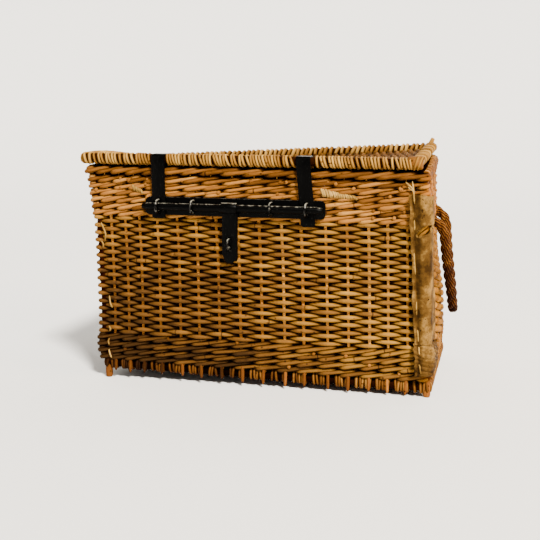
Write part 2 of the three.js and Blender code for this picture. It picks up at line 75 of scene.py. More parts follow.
def object_of(name, points, faces, uv, values, material):
    """A smooth-shaded object from whole arrays. faces is a list of arrays of corners, one row for each face,
    uv gives two numbers for each corner, and values holds named numbers for each point."""
    mesh = bpy.data.meshes.new(name)
    corners = np.concatenate([f.ravel() for f in faces])
    sizes = np.concatenate([np.full(len(f), f.shape[1]) for f in faces])
    starts = np.concatenate([[0], np.cumsum(sizes)[:-1]])
    mesh.vertices.add(len(points))
    mesh.vertices.foreach_set("co", points.astype(np.float32).ravel())
    mesh.loops.add(len(corners))
    mesh.loops.foreach_set("vertex_index", corners.astype(np.int32))
    mesh.polygons.add(len(starts))
    mesh.polygons.foreach_set("loop_start", starts.astype(np.int32))
    mesh.polygons.foreach_set("use_smooth", np.ones(len(starts), bool))
    mesh.update(calc_edges=True)
    mesh.uv_layers.new(name="UVMap").uv.foreach_set("vector", uv.astype(np.float32).ravel())
    for key, numbers in values.items():
        attribute = mesh.attributes.new(key, "FLOAT", "POINT")
        attribute.data.foreach_set("value", np.asarray(numbers, np.float32).ravel())
    mesh.materials.append(material)
    return shown(name, mesh)


def finish_of(name):
    """A new material, its node tree and its main shader."""
    material = bpy.data.materials.new(name)
    material.use_nodes = True
    return material, material.node_tree, material.node_tree.nodes["Principled BSDF"]


def feed(tree, node, inputs):
    """Gives each input of a node its number or colour, or a link from the output given for it."""
    for key, value in inputs.items():
        if isinstance(value, bpy.types.NodeSocket):
            tree.links.new(value, node.inputs[key])
        else:
            node.inputs[key].default_value = value


sideways = np.cross(LOOK, (0, 0, 1))
sideways /= np.linalg.norm(sideways)
upwards = np.cross(sideways, LOOK)
camera_data = bpy.data.cameras.new("camera")
camera_data.lens, camera_data.clip_end = LENS_MM, FAR_CLIP
camera = shown("camera", camera_data)
camera.matrix_world = placed(np.cos(ROLL) * sideways + np.sin(ROLL) * upwards,
                             np.cos(ROLL) * upwards - np.sin(ROLL) * sideways,
                             -LOOK / np.linalg.norm(LOOK), EYE)
bpy.context.scene.camera = camera

for name, (place, aim, size, watts, colour) in SOFT_LAMPS.items():
    lamp = bpy.data.lights.new(name, "AREA")
    lamp.size, lamp.energy, lamp.color = size, watts, colour
    back = np.subtract(place, aim)
    back /= np.linalg.norm(back)
    across = np.cross((0, 0, 1), back)
    across /= np.linalg.norm(across)
    shown(name, lamp).matrix_world = placed(across, np.cross(back, across), back, place)
sun_lamp = bpy.data.lights.new("sun_lamp", "SUN")
sun_lamp.energy, sun_lamp.angle, sun_lamp.color = SUN_STRENGTH, SUN_SPREAD, SUN_COLOUR
sun_turned = Matrix.Rotation(SUN_TURN, 4, "Z") @ Matrix.Rotation(SUN_TILT, 4, "X")
shown("sun_lamp", sun_lamp).matrix_world = sun_turned
world = bpy.data.worlds.new("pale_room")
world.use_nodes = True
room_light = world.node_tree.nodes["Background"]
feed(world.node_tree, room_light, {"Color": WORLD_COLOUR, "Strength": WORLD_STRENGTH})
bpy.context.scene.world = world

bend = np.linspace(0, np.pi / 2, 33)
floor_end = FLOOR_BEND_FROM + FLOOR_BEND
floor_y = np.concatenate([[-FLOOR_HALF], FLOOR_BEND_FROM + FLOOR_BEND * np.sin(bend), [floor_end]])
floor_z = np.concatenate([[0], FLOOR_BEND * (1 - np.cos(bend)), [FLOOR_TOP]])
floor_rows = [np.stack([np.full_like(floor_y, x), floor_y, floor_z], 1) for x in (-FLOOR_HALF, FLOOR_HALF)]
near, far = np.arange(len(floor_y) - 1), np.arange(1, len(floor_y))
floor_faces = np.stack([near, near + len(floor_y), far + len(floor_y), far], 1)
floor_paint, floor_tree, floor_shader = finish_of("floor_paint")
feed(floor_tree, floor_shader, {"Base Color": FLOOR_COLOUR, "Roughness": FLOOR_ROUGH})
floor = object_of("floor", np.concatenate(floor_rows), [floor_faces], np.zeros((floor_faces.size, 2)), {},
                  floor_paint)


# Rope handles
# Each end has a loop of three-strand rope, about as thick as a finger. Its ends pass through the wall under
# the waling and are stopped inside by a knot, so the loop hangs free against the end.

ROPE_RADIUS = 0.010
ROPE_STRAND = 0.0053
ROPE_LAY = 0.060
ROPE_PATH_POINTS, ROPE_SIDES = 180, 10
# Half of the route, from inside the wall at the front hole to the lowest point: distance out from the end
# wall, distance along it from the loop's middle, height.
ROPE_HALF = np.array([
    (-0.0214, -0.0950, 0.3330),
    (-0.0100, -0.0950, 0.3277),
    (0.0000, -0.0950, 0.3230),
    (0.0085, -0.0950, 0.3175),
    (0.0155, -0.0945, 0.3100),
    (0.0200, -0.0935, 0.3005),
    (0.0225, -0.0915, 0.2865),
    (0.0240, -0.0870, 0.2700),
    (0.0265, -0.0770, 0.2470),
    (0.0300, -0.0650, 0.2200),
    (0.0340, -0.0530, 0.1930),
    (0.0375, -0.0415, 0.1670),
    (0.0395, -0.0290, 0.1500),
    (0.0405, -0.0150, 0.1415),
    (0.0410, 0.0000, 0.1390),
])
# Where the outside of each end wall lies at the holes: X at Y = 0 and its change along Y, and the middle of
# the loop.
ROPE_ENDS = {
    "right": {"side": 1, "face": 0.32364, "slant": -0.03457, "middle": 0.00846},
    "left": {"side": -1, "face": -0.32855, "slant": -0.03457, "middle": 0.03346},
}
# How a rod's UV runs: units for each metre along it, and the step from one rod of a piece to the next.
UV_PER_METRE, UV_ROD_STEP = 10, 3.7


def curve_through(points, count):
    """A smooth line of count points through the given ones: between two of them a cubic whose ends have the
    slope from the point before to the point after, measured along the chords."""
    at = np.concatenate([[0], np.cumsum(np.linalg.norm(np.diff(points, axis=0), axis=1))])
    slope = np.gradient(points, at, axis=0)
    where = np.linspace(0, at[-1], count)
    i = np.clip(np.searchsorted(at, where, side="right") - 1, 0, len(at) - 2)
    gap = (at[i + 1] - at[i])[:, None]
    t = ((where - at[i]) / gap[:, 0])[:, None]
    first = (2 * t**3 - 3 * t**2 + 1) * points[i] + (t**3 - 2 * t**2 + t) * gap * slope[i]
    second = (3 * t**2 - 2 * t**3) * points[i + 1] + (t**3 - t**2) * gap * slope[i + 1]
    return first + second


def square_to(paths, across, closed):
    """Two axes square to each path: across made square to the path's direction, and the third axis."""
    if closed:
        forward = np.roll(paths, -1, 1) - np.roll(paths, 1, 1)
    else:
        forward = np.gradient(paths, axis=1)
    forward /= np.linalg.norm(forward, axis=2, keepdims=True)
    normal = across - (across * forward).sum(2, keepdims=True) * forward
    normal /= np.linalg.norm(normal, axis=2, keepdims=True)
    return normal, np.cross(forward, normal)


def rods(name, paths, radius, across, material, tone, depth=0.0, sides=7, closed=False, flat=1.0):
    """Round rods along many paths at once. At each point of a path stands a ring, at the path plus radius
    times (cos a times the across direction plus sin a times flat times the third axis). Open rods get end
    caps. UV runs along the rod and once round it. tone is one number for each rod. depth, how far a point lies
    inside the weave and so how much painted shade the willow finishes give it, is one for each point of a
    path, or one for each point of each ring."""
    paths = np.asarray(paths, float)
    count, steps = paths.shape[:2]
    normal, third = square_to(paths, np.broadcast_to(across, paths.shape), closed)
    angle = np.arange(sides) * 2 * np.pi / sides
    ring = normal[:, :, None] * np.cos(angle)[:, None] + third[:, :, None] * np.sin(angle)[:, None] * flat
    points = paths[:, :, None] + ring * np.broadcast_to(radius, (count, steps))[:, :, None, None]
    spans = steps if closed else steps - 1
    rod, step, side = np.meshgrid(np.arange(count), np.arange(spans), np.arange(sides), indexing="ij")
    quads = np.stack([(rod * steps + (step + ahead) % steps) * sides + (side + beside) % sides
                      for ahead, beside in ((0, 0), (0, 1), (1, 1), (1, 0))], -1)
    length = np.linalg.norm(np.diff(paths, axis=1), axis=2)
    along = np.concatenate([np.zeros((count, 1)), np.cumsum(length, 1)], 1)
    along = np.concatenate([along, along[:, -1:] + length[:, :1]], 1) * UV_PER_METRE
    along = along + np.arange(count)[:, None] * UV_ROD_STEP
    low, high = along[:, :spans, None], along[:, 1:spans + 1, None]
    u = np.broadcast_to(np.stack([low, low, high, high], -1), quads.shape)
    v = np.stack([side, side + 1, side + 1, side], -1) / sides
    uv = [np.stack([u, v], -1).reshape(-1, 2)]
    faces = [quads.reshape(-1, 4)]
    if not closed:
        first = np.arange(count)[:, None] * steps * sides
        faces += [first + np.arange(sides)[::-1], first + (steps - 1) * sides + np.arange(sides)]
        uv += [np.zeros((2 * count * sides, 2))]
    if np.ndim(depth) < 3:
        depth = np.broadcast_to(depth, (count, steps))[:, :, None]
    values = {"tone": np.broadcast_to(tone, (count,))[:, None, None], "depth": depth}
    values = {key: np.broadcast_to(numbers, (count, steps, sides)) for key, numbers in values.items()}
    return object_of(name, points.reshape(-1, 3), faces, np.concatenate(uv), values, material)


def node_of(tree, kind, out, inputs, **settings):
    """The output named out of a new node of this kind, with its settings and inputs."""
    node = tree.nodes.new(f"ShaderNode{kind}")
    for key, value in settings.items():
        setattr(node, key, value)
    feed(tree, node, inputs)
    return node.outputs[out]


def noise_of(tree, place, scale, detail, rough=0.5):
    """A noise over a place, with scale in lumps for each unit."""
    return node_of(tree, "TexNoise", "Fac",
                   {"Vector": place, "Scale": scale, "Detail": detail, "Roughness": rough})


def sum_of(tree, kind, *terms):
    """The result of one kind of sum on numbers or outputs."""
    return node_of(tree, "Math", "Value", dict(enumerate(terms)), operation=kind)


def range_of(tree, value, start, end, low=0.0, high=1.0, curve="LINEAR"):
    """low where the value is at start, high where it is at end, and kept so beyond them."""
    return node_of(tree, "MapRange", "Result", interpolation_type=curve, inputs={
        "Value": value, "From Min": start, "From Max": end, "To Min": low, "To Max": high})


def ramp_of(tree, value, stops):
    """A ramp's colour at a value. stops are rows of place and linear red, green and blue, both ends first."""
    ramp = tree.nodes.new("ShaderNodeValToRGB")
    ends = ramp.color_ramp.elements
    for i, (place, *colour) in enumerate(stops):
        stop = ends[i] if i < 2 else ends.new(place)
        stop.position = place
        stop.color = (*colour, 1)
    feed(tree, ramp, {"Fac": value})
    return ramp.outputs["Color"]


def bump_of(tree, height, strength, distance):
    """Relief of a height, for a shader's normal."""
    return node_of(tree, "Bump", "Normal", {"Height": height, "Strength": strength, "Distance": distance})


def rope_finish():
    """Reddish hemp: slanting yarns across each strand by a wave on its own UV, with golden fibres on top, and
    darker low down."""
    material, tree, shader = finish_of("rope_fibre")
    place = node_of(tree, "TexCoord", "Object", {})
    own = node_of(tree, "UVMap", "UV", {})
    slanted = node_of(tree, "Mapping", "Vector", {"Vector": own, "Scale": (9.0, 3.0, 1.0)})
    yarns = node_of(tree, "TexWave", "Fac", bands_direction="DIAGONAL", inputs={
        "Vector": slanted, "Scale": 1.1, "Distortion": 1.5, "Detail": 3})
    fibres = sum_of(tree, "MULTIPLY", yarns, noise_of(tree, place, 55, 5))
    height = node_of(tree, "SeparateXYZ", "Z", {"Vector": place})
    darker_low = range_of(tree, height, 0.14, 0.34, -0.14, 0.10)
    feed(tree, shader, {
        "Base Color": ramp_of(tree, sum_of(tree, "ADD", fibres, darker_low), [
            (0.0, 0.006, 0.001, 0.000), (0.62, 0.17, 0.066, 0.010),
            (0.20, 0.020, 0.005, 0.001), (0.40, 0.062, 0.020, 0.003)]),
        "Roughness": 0.75,
        "Specular IOR Level": 0.03,
        "Normal": bump_of(tree, fibres, 0.4, 0.0015),
    })
    return material


rope_fibre = rope_finish()
rope_rows = np.concatenate([ROPE_HALF, (ROPE_HALF * (1, -1, 1))[-2::-1]])
for end, seat in ROPE_ENDS.items():
    rope_y = seat["middle"] + rope_rows[:, 1]
    rope_x = seat["face"] + seat["slant"] * rope_y + seat["side"] * rope_rows[:, 0]
    rope_route = np.stack([rope_x, rope_y, rope_rows[:, 2]], 1)
    rope_line = curve_through(rope_route, ROPE_PATH_POINTS)
    rope_run = np.concatenate([[0], np.cumsum(np.linalg.norm(np.diff(rope_line, axis=0), axis=1))])
    outwards = np.array([seat["side"], 0.0, 0.0])
    rope_out, rope_third = square_to(rope_line[None], outwards, False)
    twist = 2 * np.pi * (rope_run / ROPE_LAY + np.arange(3)[:, None] / 3)
    strands = np.cos(twist)[..., None] * rope_out + np.sin(twist)[..., None] * rope_third
    strands = rope_line + (ROPE_RADIUS - ROPE_STRAND) * strands
    handle = rods(f"rope_{end}", strands, ROPE_STRAND, outwards, rope_fibre, 0.5, sides=ROPE_SIDES)
    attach(handle, "pannier")
    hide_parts(f"handle_rope_{end}")
    knots = [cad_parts[f"handle_knot_{end}_{place}"] for place in ("front", "back")]
    for knot in knots:
        knot.material_slots[0].material = rope_fibre


# Corner posts and stakes
# Four thick peeled posts stand in the corners, and their lower ends are the feet. Thin straight stakes stand
# between them, pushed down through the edge of the base, and everything else is woven round these uprights.

# The outside of the wall at each height: the middle along X, how far the back lies to -X of the front, half
# the width, half the depth, and how far the middle of a side stands out past its corners.
WALL = np.array([
    (0.035, 0.00876, 0.000, 0.3225, 0.182, 0.003),
    (0.063, 0.00876, 0.000, 0.3265, 0.186, 0.007),
    (0.095, 0.00876, 0.000, 0.3245, 0.186, 0.012),
    (0.165, 0.00826, 0.002, 0.3235, 0.186, 0.013),
    (0.245, 0.00626, 0.011, 0.3235, 0.187, 0.004),
    (0.323, 0.00376, 0.013, 0.3240, 0.188, 0.003),
    (0.401, -0.00324, 0.013, 0.3275, 0.190, 0.001),
])
WALL_FOOT, WALL_CORNER = 0.035, 0.015
WALL_ORIGIN_X, MIDDLE_Y = 0.00626, 0.00846
# The rim has sunk at its back left and risen at its back right: limits in Y and Z, the change at each end.
SINK_Y, SINK_Z = (-0.1415, 0.2065), (0.323, 0.401)
SINK_LEFT, SINK_RIGHT = -0.022, 0.014
# Its foot falls towards +X: heights, and the fall there for each metre along X.
SLANT_Z, SLANT_FALL = (0.012, 0.0367, 0.091), (0.021, 0.013, 0.0)
LID_HALF_WIDTH = 0.3265
# Where the front stakes stand along X, at the height of the middle of the siding.
STAKE_HEIGHT = 0.305
FRONT_STAKES = np.array([
    -0.284, -0.255, -0.226, -0.190, -0.150, -0.113, -0.073, -0.032,
    0.010, 0.053, 0.090, 0.136, 0.176, 0.216, 0.251, 0.287,
])
END_STAKES = 9
STAKE_LOW, STAKE_TOP, POST_TOP = 0.030, 0.404, 0.402
STAKE_RADIUS, POST_RADIUS = 0.0028, 0.0070
STAKE_LEAN = 0.035
# The middle of the weave, off the wall's face and so inside it, and how much further in the posts stand.
WEAVE_MIDDLE, POST_INSIDE = -0.0103, 0.002
# The feet: where they stand, the heights between which a post bends over to its foot, and its rounded end.
FOOT_PLACES = np.array([(-0.2967, -0.1635), (0.3293, -0.1635), (0.3293, 0.1805), (-0.2967, 0.1805)])
FOOT_BEND = (0.03, 0.10)
FOOT_ROUND = [(0, 0.002, 0.005, 0.4), (0.80, 0.92, 1.0, 1.0)]
POST_TONES = np.array([0.72, 0.42, 0.30, 0.3])
ASLANT = (0.7, 0.7, 0.0)

SIDE_RUN = np.array([(1, 0), (0, 1), (-1, 0), (0, -1)])
SIDE_OUT = np.array([(0, -1), (1, 0), (0, 1), (-1, 0)])

random = np.random.default_rng(7)


def smooth_step(x, low, high):
    """0 below low, 1 above high and 3t squared minus 2t cubed between them."""
    t = np.clip((x - low) / (high - low), 0, 1)
    return t * t * (3 - 2 * t)


def settled(points):
    """The points of the old basket: the height of its foot and of its rim changes with X, the rim's more
    towards the back."""
    x, y, z = points[..., 0] - WALL_ORIGIN_X, points[..., 1], points[..., 2]
    share = smooth_step(y, *SINK_Y) * smooth_step(z, *SINK_Z)
    ends = (x + LID_HALF_WIDTH) / (2 * LID_HALF_WIDTH)
    moved = points.copy()
    moved[..., 2] -= x * np.interp(z, SLANT_Z, SLANT_FALL)
    moved[..., 2] += share * (SINK_LEFT + ends * (SINK_RIGHT - SINK_LEFT))
    return moved


def round_frame(turn, off, middle, skew, half_width, half_depth, bow, corner):
    """A point on a trip round a rectangle with round corners and bowed sides, off outside it. turn counts
    sides: 0 to 1 is the front from left to right, 1 to 2 the right end, then the back and the left end. Whole
    numbers are the middles of the corners' bends. A side runs straight to where the bend begins, then round
    the bend."""
    turn = np.mod(turn, 4)
    side = np.minimum(np.floor(turn).astype(int), 3)
    half_run = np.where(side % 2 == 0, half_width, half_depth) - corner
    half_out = np.where(side % 2 == 0, half_depth, half_width)
    at = (turn - side - 0.5) * (2 * half_run + corner * np.pi / 2)
    bend = np.maximum(np.abs(at) - half_run, 0) / corner
    straight = np.clip(at, -half_run, half_run)
    run = straight + np.sign(at) * (corner + off) * np.sin(bend)
    out = half_out - corner + (corner + off) * np.cos(bend) + bow * (1 - (straight / half_run) ** 2)
    x = run * SIDE_RUN[side, 0] + out * SIDE_OUT[side, 0]
    y = run * SIDE_RUN[side, 1] + out * SIDE_OUT[side, 1]
    return x + middle - skew * (1 + y / half_depth) / 2, y + MIDDLE_Y


def wall_at(z):
    """The wall's middle, skew, half width, half depth and bow at a height."""
    return [np.interp(z, WALL[:, 0], column) for column in WALL.T[1:]]


def on_wall(turn, z, off):
    """The point of the wall at a turn and a height, off outside its face, where the old basket now has it."""
    turn, z, off = np.broadcast_arrays(turn, z, off)
    x, y = round_frame(turn, off, *wall_at(z), WALL_CORNER)
    return settled(np.stack([x, y, z], -1))


def turn_of_front(x, z):
    """The turn at which the front wall has this X at a height."""
    middle, _, half_width, _, _ = wall_at(z)
    return 0.5 + (x - middle) / (2 * (half_width - WALL_CORNER) + WALL_CORNER * np.pi / 2)


end_stakes = (np.arange(END_STAKES) + 1 + random.uniform(-0.12, 0.12, END_STAKES)) / (END_STAKES + 1)
front_stakes = turn_of_front(FRONT_STAKES, STAKE_HEIGHT)
# Every upright in order round the basket, a corner post at each whole turn, and the first again at the end.
UPRIGHTS = np.concatenate([
    [0], front_stakes, [1], 1 + end_stakes, [2], 3 - front_stakes[::-1], [3], 4 - end_stakes[::-1], [4]])
COUNT = len(UPRIGHTS) - 1
IS_POST = np.isclose(UPRIGHTS, np.round(UPRIGHTS))


def turn_at(upright, z):
    """The turn at a number of uprights counted from the first, with parts of one between them. The front's
    stakes lean."""
    turn = np.interp(np.mod(upright, COUNT), np.arange(COUNT + 1), UPRIGHTS)
    lean = STAKE_LEAN * (STAKE_HEIGHT - z) * np.sin(np.pi * (turn % 1)) ** 2
    return turn + np.where(np.floor(turn) % 4 == 0, lean, 0)


def willow_finish(name, stops, depth_shade, gloss, right_end_light=(1.0, 1.0, 1.0)):
    """Old willow: the tone of each rod is broken by streaks along it and blotches, with a few black knots
    and dark rings where a shoot grew. Painted shade darkens it in the depth of the weave and towards the
    lower left, as if less light reached there. stops are the colours for ramp_of; the next argument is the
    share of each colour left deepest in the weave, painted shade; and the last is the share of each colour
    left on the right end, a warm tint painted for the light that falls on that end."""
    material, tree, shader = finish_of(name)
    place = node_of(tree, "TexCoord", "Object", {})
    own = node_of(tree, "UVMap", "UV", {})
    tone = node_of(tree, "Attribute", "Fac", {}, attribute_name="tone")
    depth = node_of(tree, "Attribute", "Fac", {}, attribute_name="depth")
    x, z = (node_of(tree, "SeparateXYZ", axis, {"Vector": place}) for axis in "XZ")
    stretched = node_of(tree, "Mapping", "Vector", {"Vector": own, "Scale": (4.0, 7.0, 1.0)})
    streaks = noise_of(tree, stretched, 2.2, 4, 0.65)
    shade = sum_of(tree, "MULTIPLY_ADD", streaks, 0.42, tone)
    shade = sum_of(tree, "MULTIPLY_ADD", noise_of(tree, place, 26, 3), 0.40, shade)
    shade = sum_of(tree, "MULTIPLY_ADD", noise_of(tree, place, 5, 2), 0.30, shade)
    shade = sum_of(tree, "SUBTRACT", shade, 0.56)
    knots = node_of(tree, "TexVoronoi", "Distance", {"Vector": place, "Scale": 62})
    shade = sum_of(tree, "SUBTRACT", shade, range_of(tree, knots, 0.07, 0.16, 0.35, 0.0))
    length = node_of(tree, "SeparateXYZ", "X", {"Vector": own})
    rings = node_of(tree, "TexVoronoi", "Distance", {"W": length, "Scale": 0.22}, voronoi_dimensions="1D")
    shade = sum_of(tree, "SUBTRACT", shade, range_of(tree, rings, 0.0012, 0.0030, 0.50, 0.0))
    # Painted shade: darker towards the lower left, as if less light reached it there.
    low_down = range_of(tree, z, 0.38, 0.12, curve="SMOOTHSTEP")
    to_the_left = range_of(tree, x, 0.32, -0.30, curve="SMOOTHSTEP")
    painted_falloff = sum_of(tree, "MULTIPLY", low_down, to_the_left)
    colour = ramp_of(tree, sum_of(tree, "MULTIPLY_ADD", painted_falloff, -0.40, shade), stops)
    # Painted shade left deepest in the weave, and a warm tint painted on the right end for the light that
    # falls there.
    for share, left in ((depth, depth_shade), (range_of(tree, x, 0.312, 0.322), right_end_light)):
        colour = node_of(tree, "Mix", "Result", data_type="RGBA", blend_type="MULTIPLY", inputs={
            "Factor": share, "A": colour, "B": (*left, 1)})
    feed(tree, shader, {
        "Base Color": colour,
        "Roughness": range_of(tree, streaks, 0, 1, gloss, gloss + 0.25),
        "Specular IOR Level": range_of(tree, depth, 0, 1, 0.03, 0.0),
        "Normal": bump_of(tree, streaks, 0.5, 0.0006),
    })
    return material


peeled_stake = willow_finish("peeled_stake", [
    (0.0, 0.022, 0.007, 0.001), (1.0, 0.55, 0.258, 0.050),
    (0.4, 0.15, 0.048, 0.008), (0.7, 0.35, 0.134, 0.020)], (0.06, 0.025, 0.01), 0.46)

stake_numbers = np.flatnonzero(~IS_POST[:-1])
stake_z = np.linspace(STAKE_LOW, STAKE_TOP, 34)
stakes = on_wall(turn_at(stake_numbers[:, None], stake_z), stake_z, WEAVE_MIDDLE)
stake_thick = STAKE_RADIUS * random.uniform(0.9, 1.12, len(stakes))[:, None]
stake_rods = rods("stakes", stakes, stake_thick, ASLANT, peeled_stake,
                  random.uniform(0.70, 1.0, len(stakes)), sides=8)

post_z = np.concatenate([np.linspace(0.0, 0.006, 4), np.linspace(0.02, POST_TOP, 24)])
post_wall_z = np.maximum(post_z, WALL_FOOT)
posts = on_wall(np.arange(4)[:, None] * 1.0, post_wall_z, WEAVE_MIDDLE - POST_INSIDE)
posts[:, :, 2] += post_z - post_wall_z
foot_share = 1 - smooth_step(post_z, *FOOT_BEND)[:, None]
posts[:, :, :2] += foot_share * (FOOT_PLACES[:, None] - posts[:, :, :2])
posts[:, :, 2] -= foot_share[:, 0] * posts[:, :1, 2]
# Above the base the posts are painted dark, as shade behind the weave; their feet keep their own colour.
post_rods = rods("corner_posts", posts, POST_RADIUS * np.interp(post_z, *FOOT_ROUND), ASLANT, peeled_stake,
                 POST_TONES, depth=smooth_step(post_z, 0.028, 0.040), sides=14)
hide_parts("foot_front_left", "foot_front_right", "foot_back_right", "foot_back_left")
for made in (stake_rods, post_rods):
    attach(made, "pannier")


# The base
# A flat panel of sticks along the length with rods woven across, inside a thick edge stick that split willow
# is wrapped round. The stakes' pointed ends come out below it as pegs.

BASE_MIDDLE, BASE_HALF_WIDTH, BASE_HALF_DEPTH = 0.01626, 0.323, 0.182
BASE_CORNER, BASE_EDGE = 0.010, 0.024
BASE_LOW, BASE_HIGH = 0.012, 0.0367
PANEL_STICKS = 10
PANEL_STICK_RADIUS, PANEL_ROD_RADIUS, PANEL_ROD_GAP = 0.0035, 0.0034, 0.0004
PANEL_WAVE = 0.0040
EDGE_STICK_RADIUS, WRAP_RADIUS = 0.0085, 0.0030
WRAP_STEPS, WRAP_SIDES = 12, 5
# Where the wraps lie between two uprights, as shares of the gap, and the share of them that is lost.
WRAP_PLACES, WRAPS_LOST = np.array([0.20, 0.35, 0.50, 0.66, 0.81]), 0.10
# The pegs: radius, the height of their upper ends, how far these lie inside the wall, and the room below.
PEG_RADIUS, PEG_TOP, PEG_INSIDE, PEG_ROOM = 0.0031, 0.040, 0.0035, 0.0005
PEG_POINT = [(0, 0.12, 0.3, 1), (0.45, 0.85, 1, 1)]
UP = (0.0, 0.0, 1.0)

base_willow = willow_finish("base_willow", [
    (0.0, 0.012, 0.004, 0.001), (1.0, 0.33, 0.170, 0.034),
    (0.35, 0.082, 0.029, 0.005), (0.7, 0.20, 0.083, 0.015)], (0.10, 0.04, 0.02), 0.50)


def woven_panel(name, edge_frame, height, sag, material, tone):
    """A panel of sticks along X and rods along Y: each rod's height is a cosine that rises over one stick and
    dips under the next, and every other rod does the opposite. The whole lies lower inside its edges, by sag
    times 1 minus the fourth power of the share of the half size, in both directions."""
    middle, half_width, half_depth, _, edge = edge_frame
    half_width, half_depth = half_width - edge / 2, half_depth - edge / 2
    stick_y = np.linspace(-half_depth, half_depth, PANEL_STICKS + 2)[1:-1]
    stick_x = np.linspace(-half_width, half_width, 40)
    sticks = np.zeros((PANEL_STICKS, len(stick_x), 3))
    sticks[..., 0] = stick_x + middle
    sticks[..., 1] = stick_y[:, None] + MIDDLE_Y
    sticks[..., 2] = height - sag * np.outer(1 - (stick_y / half_depth) ** 4, 1 - (stick_x / half_width) ** 4)
    stick_piece = rods(f"{name}_sticks", settled(sticks), PANEL_STICK_RADIUS, UP, material,
                       random.uniform(*tone, PANEL_STICKS), sides=8)
    count = int(2 * half_width / (2 * PANEL_ROD_RADIUS + PANEL_ROD_GAP))
    rod_x = np.linspace(-half_width + PANEL_ROD_RADIUS, half_width - PANEL_ROD_RADIUS, count)
    rod_y = np.linspace(-half_depth, half_depth, (PANEL_STICKS + 1) * 6 + 1)
    woven = np.zeros((count, len(rod_y), 3))
    woven[..., 0] = rod_x[:, None] + middle + random.uniform(-0.0003, 0.0003, (count, 1))
    woven[..., 1] = rod_y + MIDDLE_Y
    parity = (np.arange(count) % 2)[:, None]
    wave = np.cos(np.pi * ((rod_y - stick_y[0]) / (stick_y[1] - stick_y[0]) + parity))
    sunk = sag * np.outer(1 - (rod_x / half_width) ** 4, 1 - (rod_y / half_depth) ** 4)
    woven[..., 2] = height - sunk + PANEL_WAVE * wave
    thick = PANEL_ROD_RADIUS * random.uniform(1.06, 1.20, (count, 1))
    # The rods are painted darker where they pass between two sticks, as shade in the weave.
    rod_piece = rods(f"{name}_rods", settled(woven), thick, UP, material, random.uniform(*tone, count),
                     depth=0.6 * (1 - np.abs(wave)), sides=6)
    return stick_piece, rod_piece


def on_edge(turns, off, edge_frame):
    """X and Y of an edge at these turns, off outside its outer face."""
    middle, half_width, half_depth, corner, _ = edge_frame
    return np.stack(round_frame(turns, off, middle, 0, half_width, half_depth, 0, corner), -1)


def edge_stick(name, edge_frame, height, material, tone):
    """The stick inside a wrapped edge, a closed rod round the frame at the middle of the edge, painted nearly
    all dark as the shade between the wraps.
    """
    line = on_edge(np.arange(160) / 40, -edge_frame[-1] / 2, edge_frame)
    line = np.concatenate([line, np.full((len(line), 1), height)], 1)
    return rods(name, settled(line)[None], EDGE_STICK_RADIUS, UP, material, tone, depth=0.93, sides=10,
                closed=True)


def edge_faces(turns, edge_frame):
    """The points of an edge's outer and of its inner face at these turns."""
    return on_edge(turns, 0, edge_frame), on_edge(turns, -edge_frame[-1], edge_frame)


def bent(wave):
    """A sine or cosine drawn fuller, to the power 0.7, which makes a circle a rounded square."""
    return np.sign(wave) * np.abs(wave) ** 0.7


def wrapped_edge(name, faces, low, high, radius, lean, material, tone):
    """Rings of split willow round an edge stick: each is a rounded square between its points on the outer and
    inner face of the edge and between two heights, its top leans along the edge, and painted shade darkens
    its sides, where it touches its neighbours."""
    outer, inner = faces
    count = len(outer)
    a = np.arange(WRAP_STEPS) * 2 * np.pi / WRAP_STEPS
    through = outer - inner
    through /= np.linalg.norm(through, axis=1, keepdims=True)
    outer = outer - through * radius
    inner = inner + through * radius
    run = np.stack([-through[:, 1], through[:, 0]], 1)
    slope = lean + random.uniform(-0.0018, 0.0018, count)
    middle, half = (low + high) / 2, (high - low) / 2 - radius
    rings = np.zeros((count, WRAP_STEPS, 3))
    rings[..., :2] = inner[:, None] + (outer - inner)[:, None] * (bent(np.cos(a)) + 1)[:, None] / 2
    rings[..., :2] += run[:, None] * (slope[:, None] * np.sin(a))[..., None]
    rings[..., 2] = np.reshape(middle, (-1, 1)) + np.reshape(half, (-1, 1)) * bent(np.sin(a))
    facing = np.concatenate([run, np.zeros((count, 1))], 1)[:, None]
    thick = radius * random.uniform(0.85, 1.1, (count, 1))
    # Painted shade on the two sides of each wrap, where it touches its neighbours.
    beside = np.abs(np.cos(np.arange(WRAP_SIDES) * 2 * np.pi / WRAP_SIDES))
    shade_beside = 0.95 * smooth_step(beside, 0.35, 1.05)
    return rods(name, settled(rings), thick, facing, material, random.uniform(*tone, count),
                depth=shade_beside[None, None], sides=WRAP_SIDES, closed=True)


base_frame = (BASE_MIDDLE, BASE_HALF_WIDTH, BASE_HALF_DEPTH, BASE_CORNER, BASE_EDGE)
base_height = (BASE_LOW + BASE_HIGH) / 2
base_sticks, base_rods = woven_panel("base", base_frame, base_height, 0, base_willow, (0.15, 0.45))
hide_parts("base_panel")
base_stick = edge_stick("base_stick", base_frame, base_height, base_willow, 0.2)
wrap_places = WRAP_PLACES + random.uniform(-0.03, 0.03, (COUNT, len(WRAP_PLACES)))
wrap_places = np.arange(COUNT)[:, None] + wrap_places
base_turns = turn_at(wrap_places[random.uniform(0, 1, wrap_places.shape) > WRAPS_LOST], BASE_HIGH)
base_wraps = wrapped_edge("base_wraps", edge_faces(base_turns, base_frame), BASE_LOW, BASE_HIGH,
                          WRAP_RADIUS, 0, base_willow, (0.35, 0.8))
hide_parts("base_border")

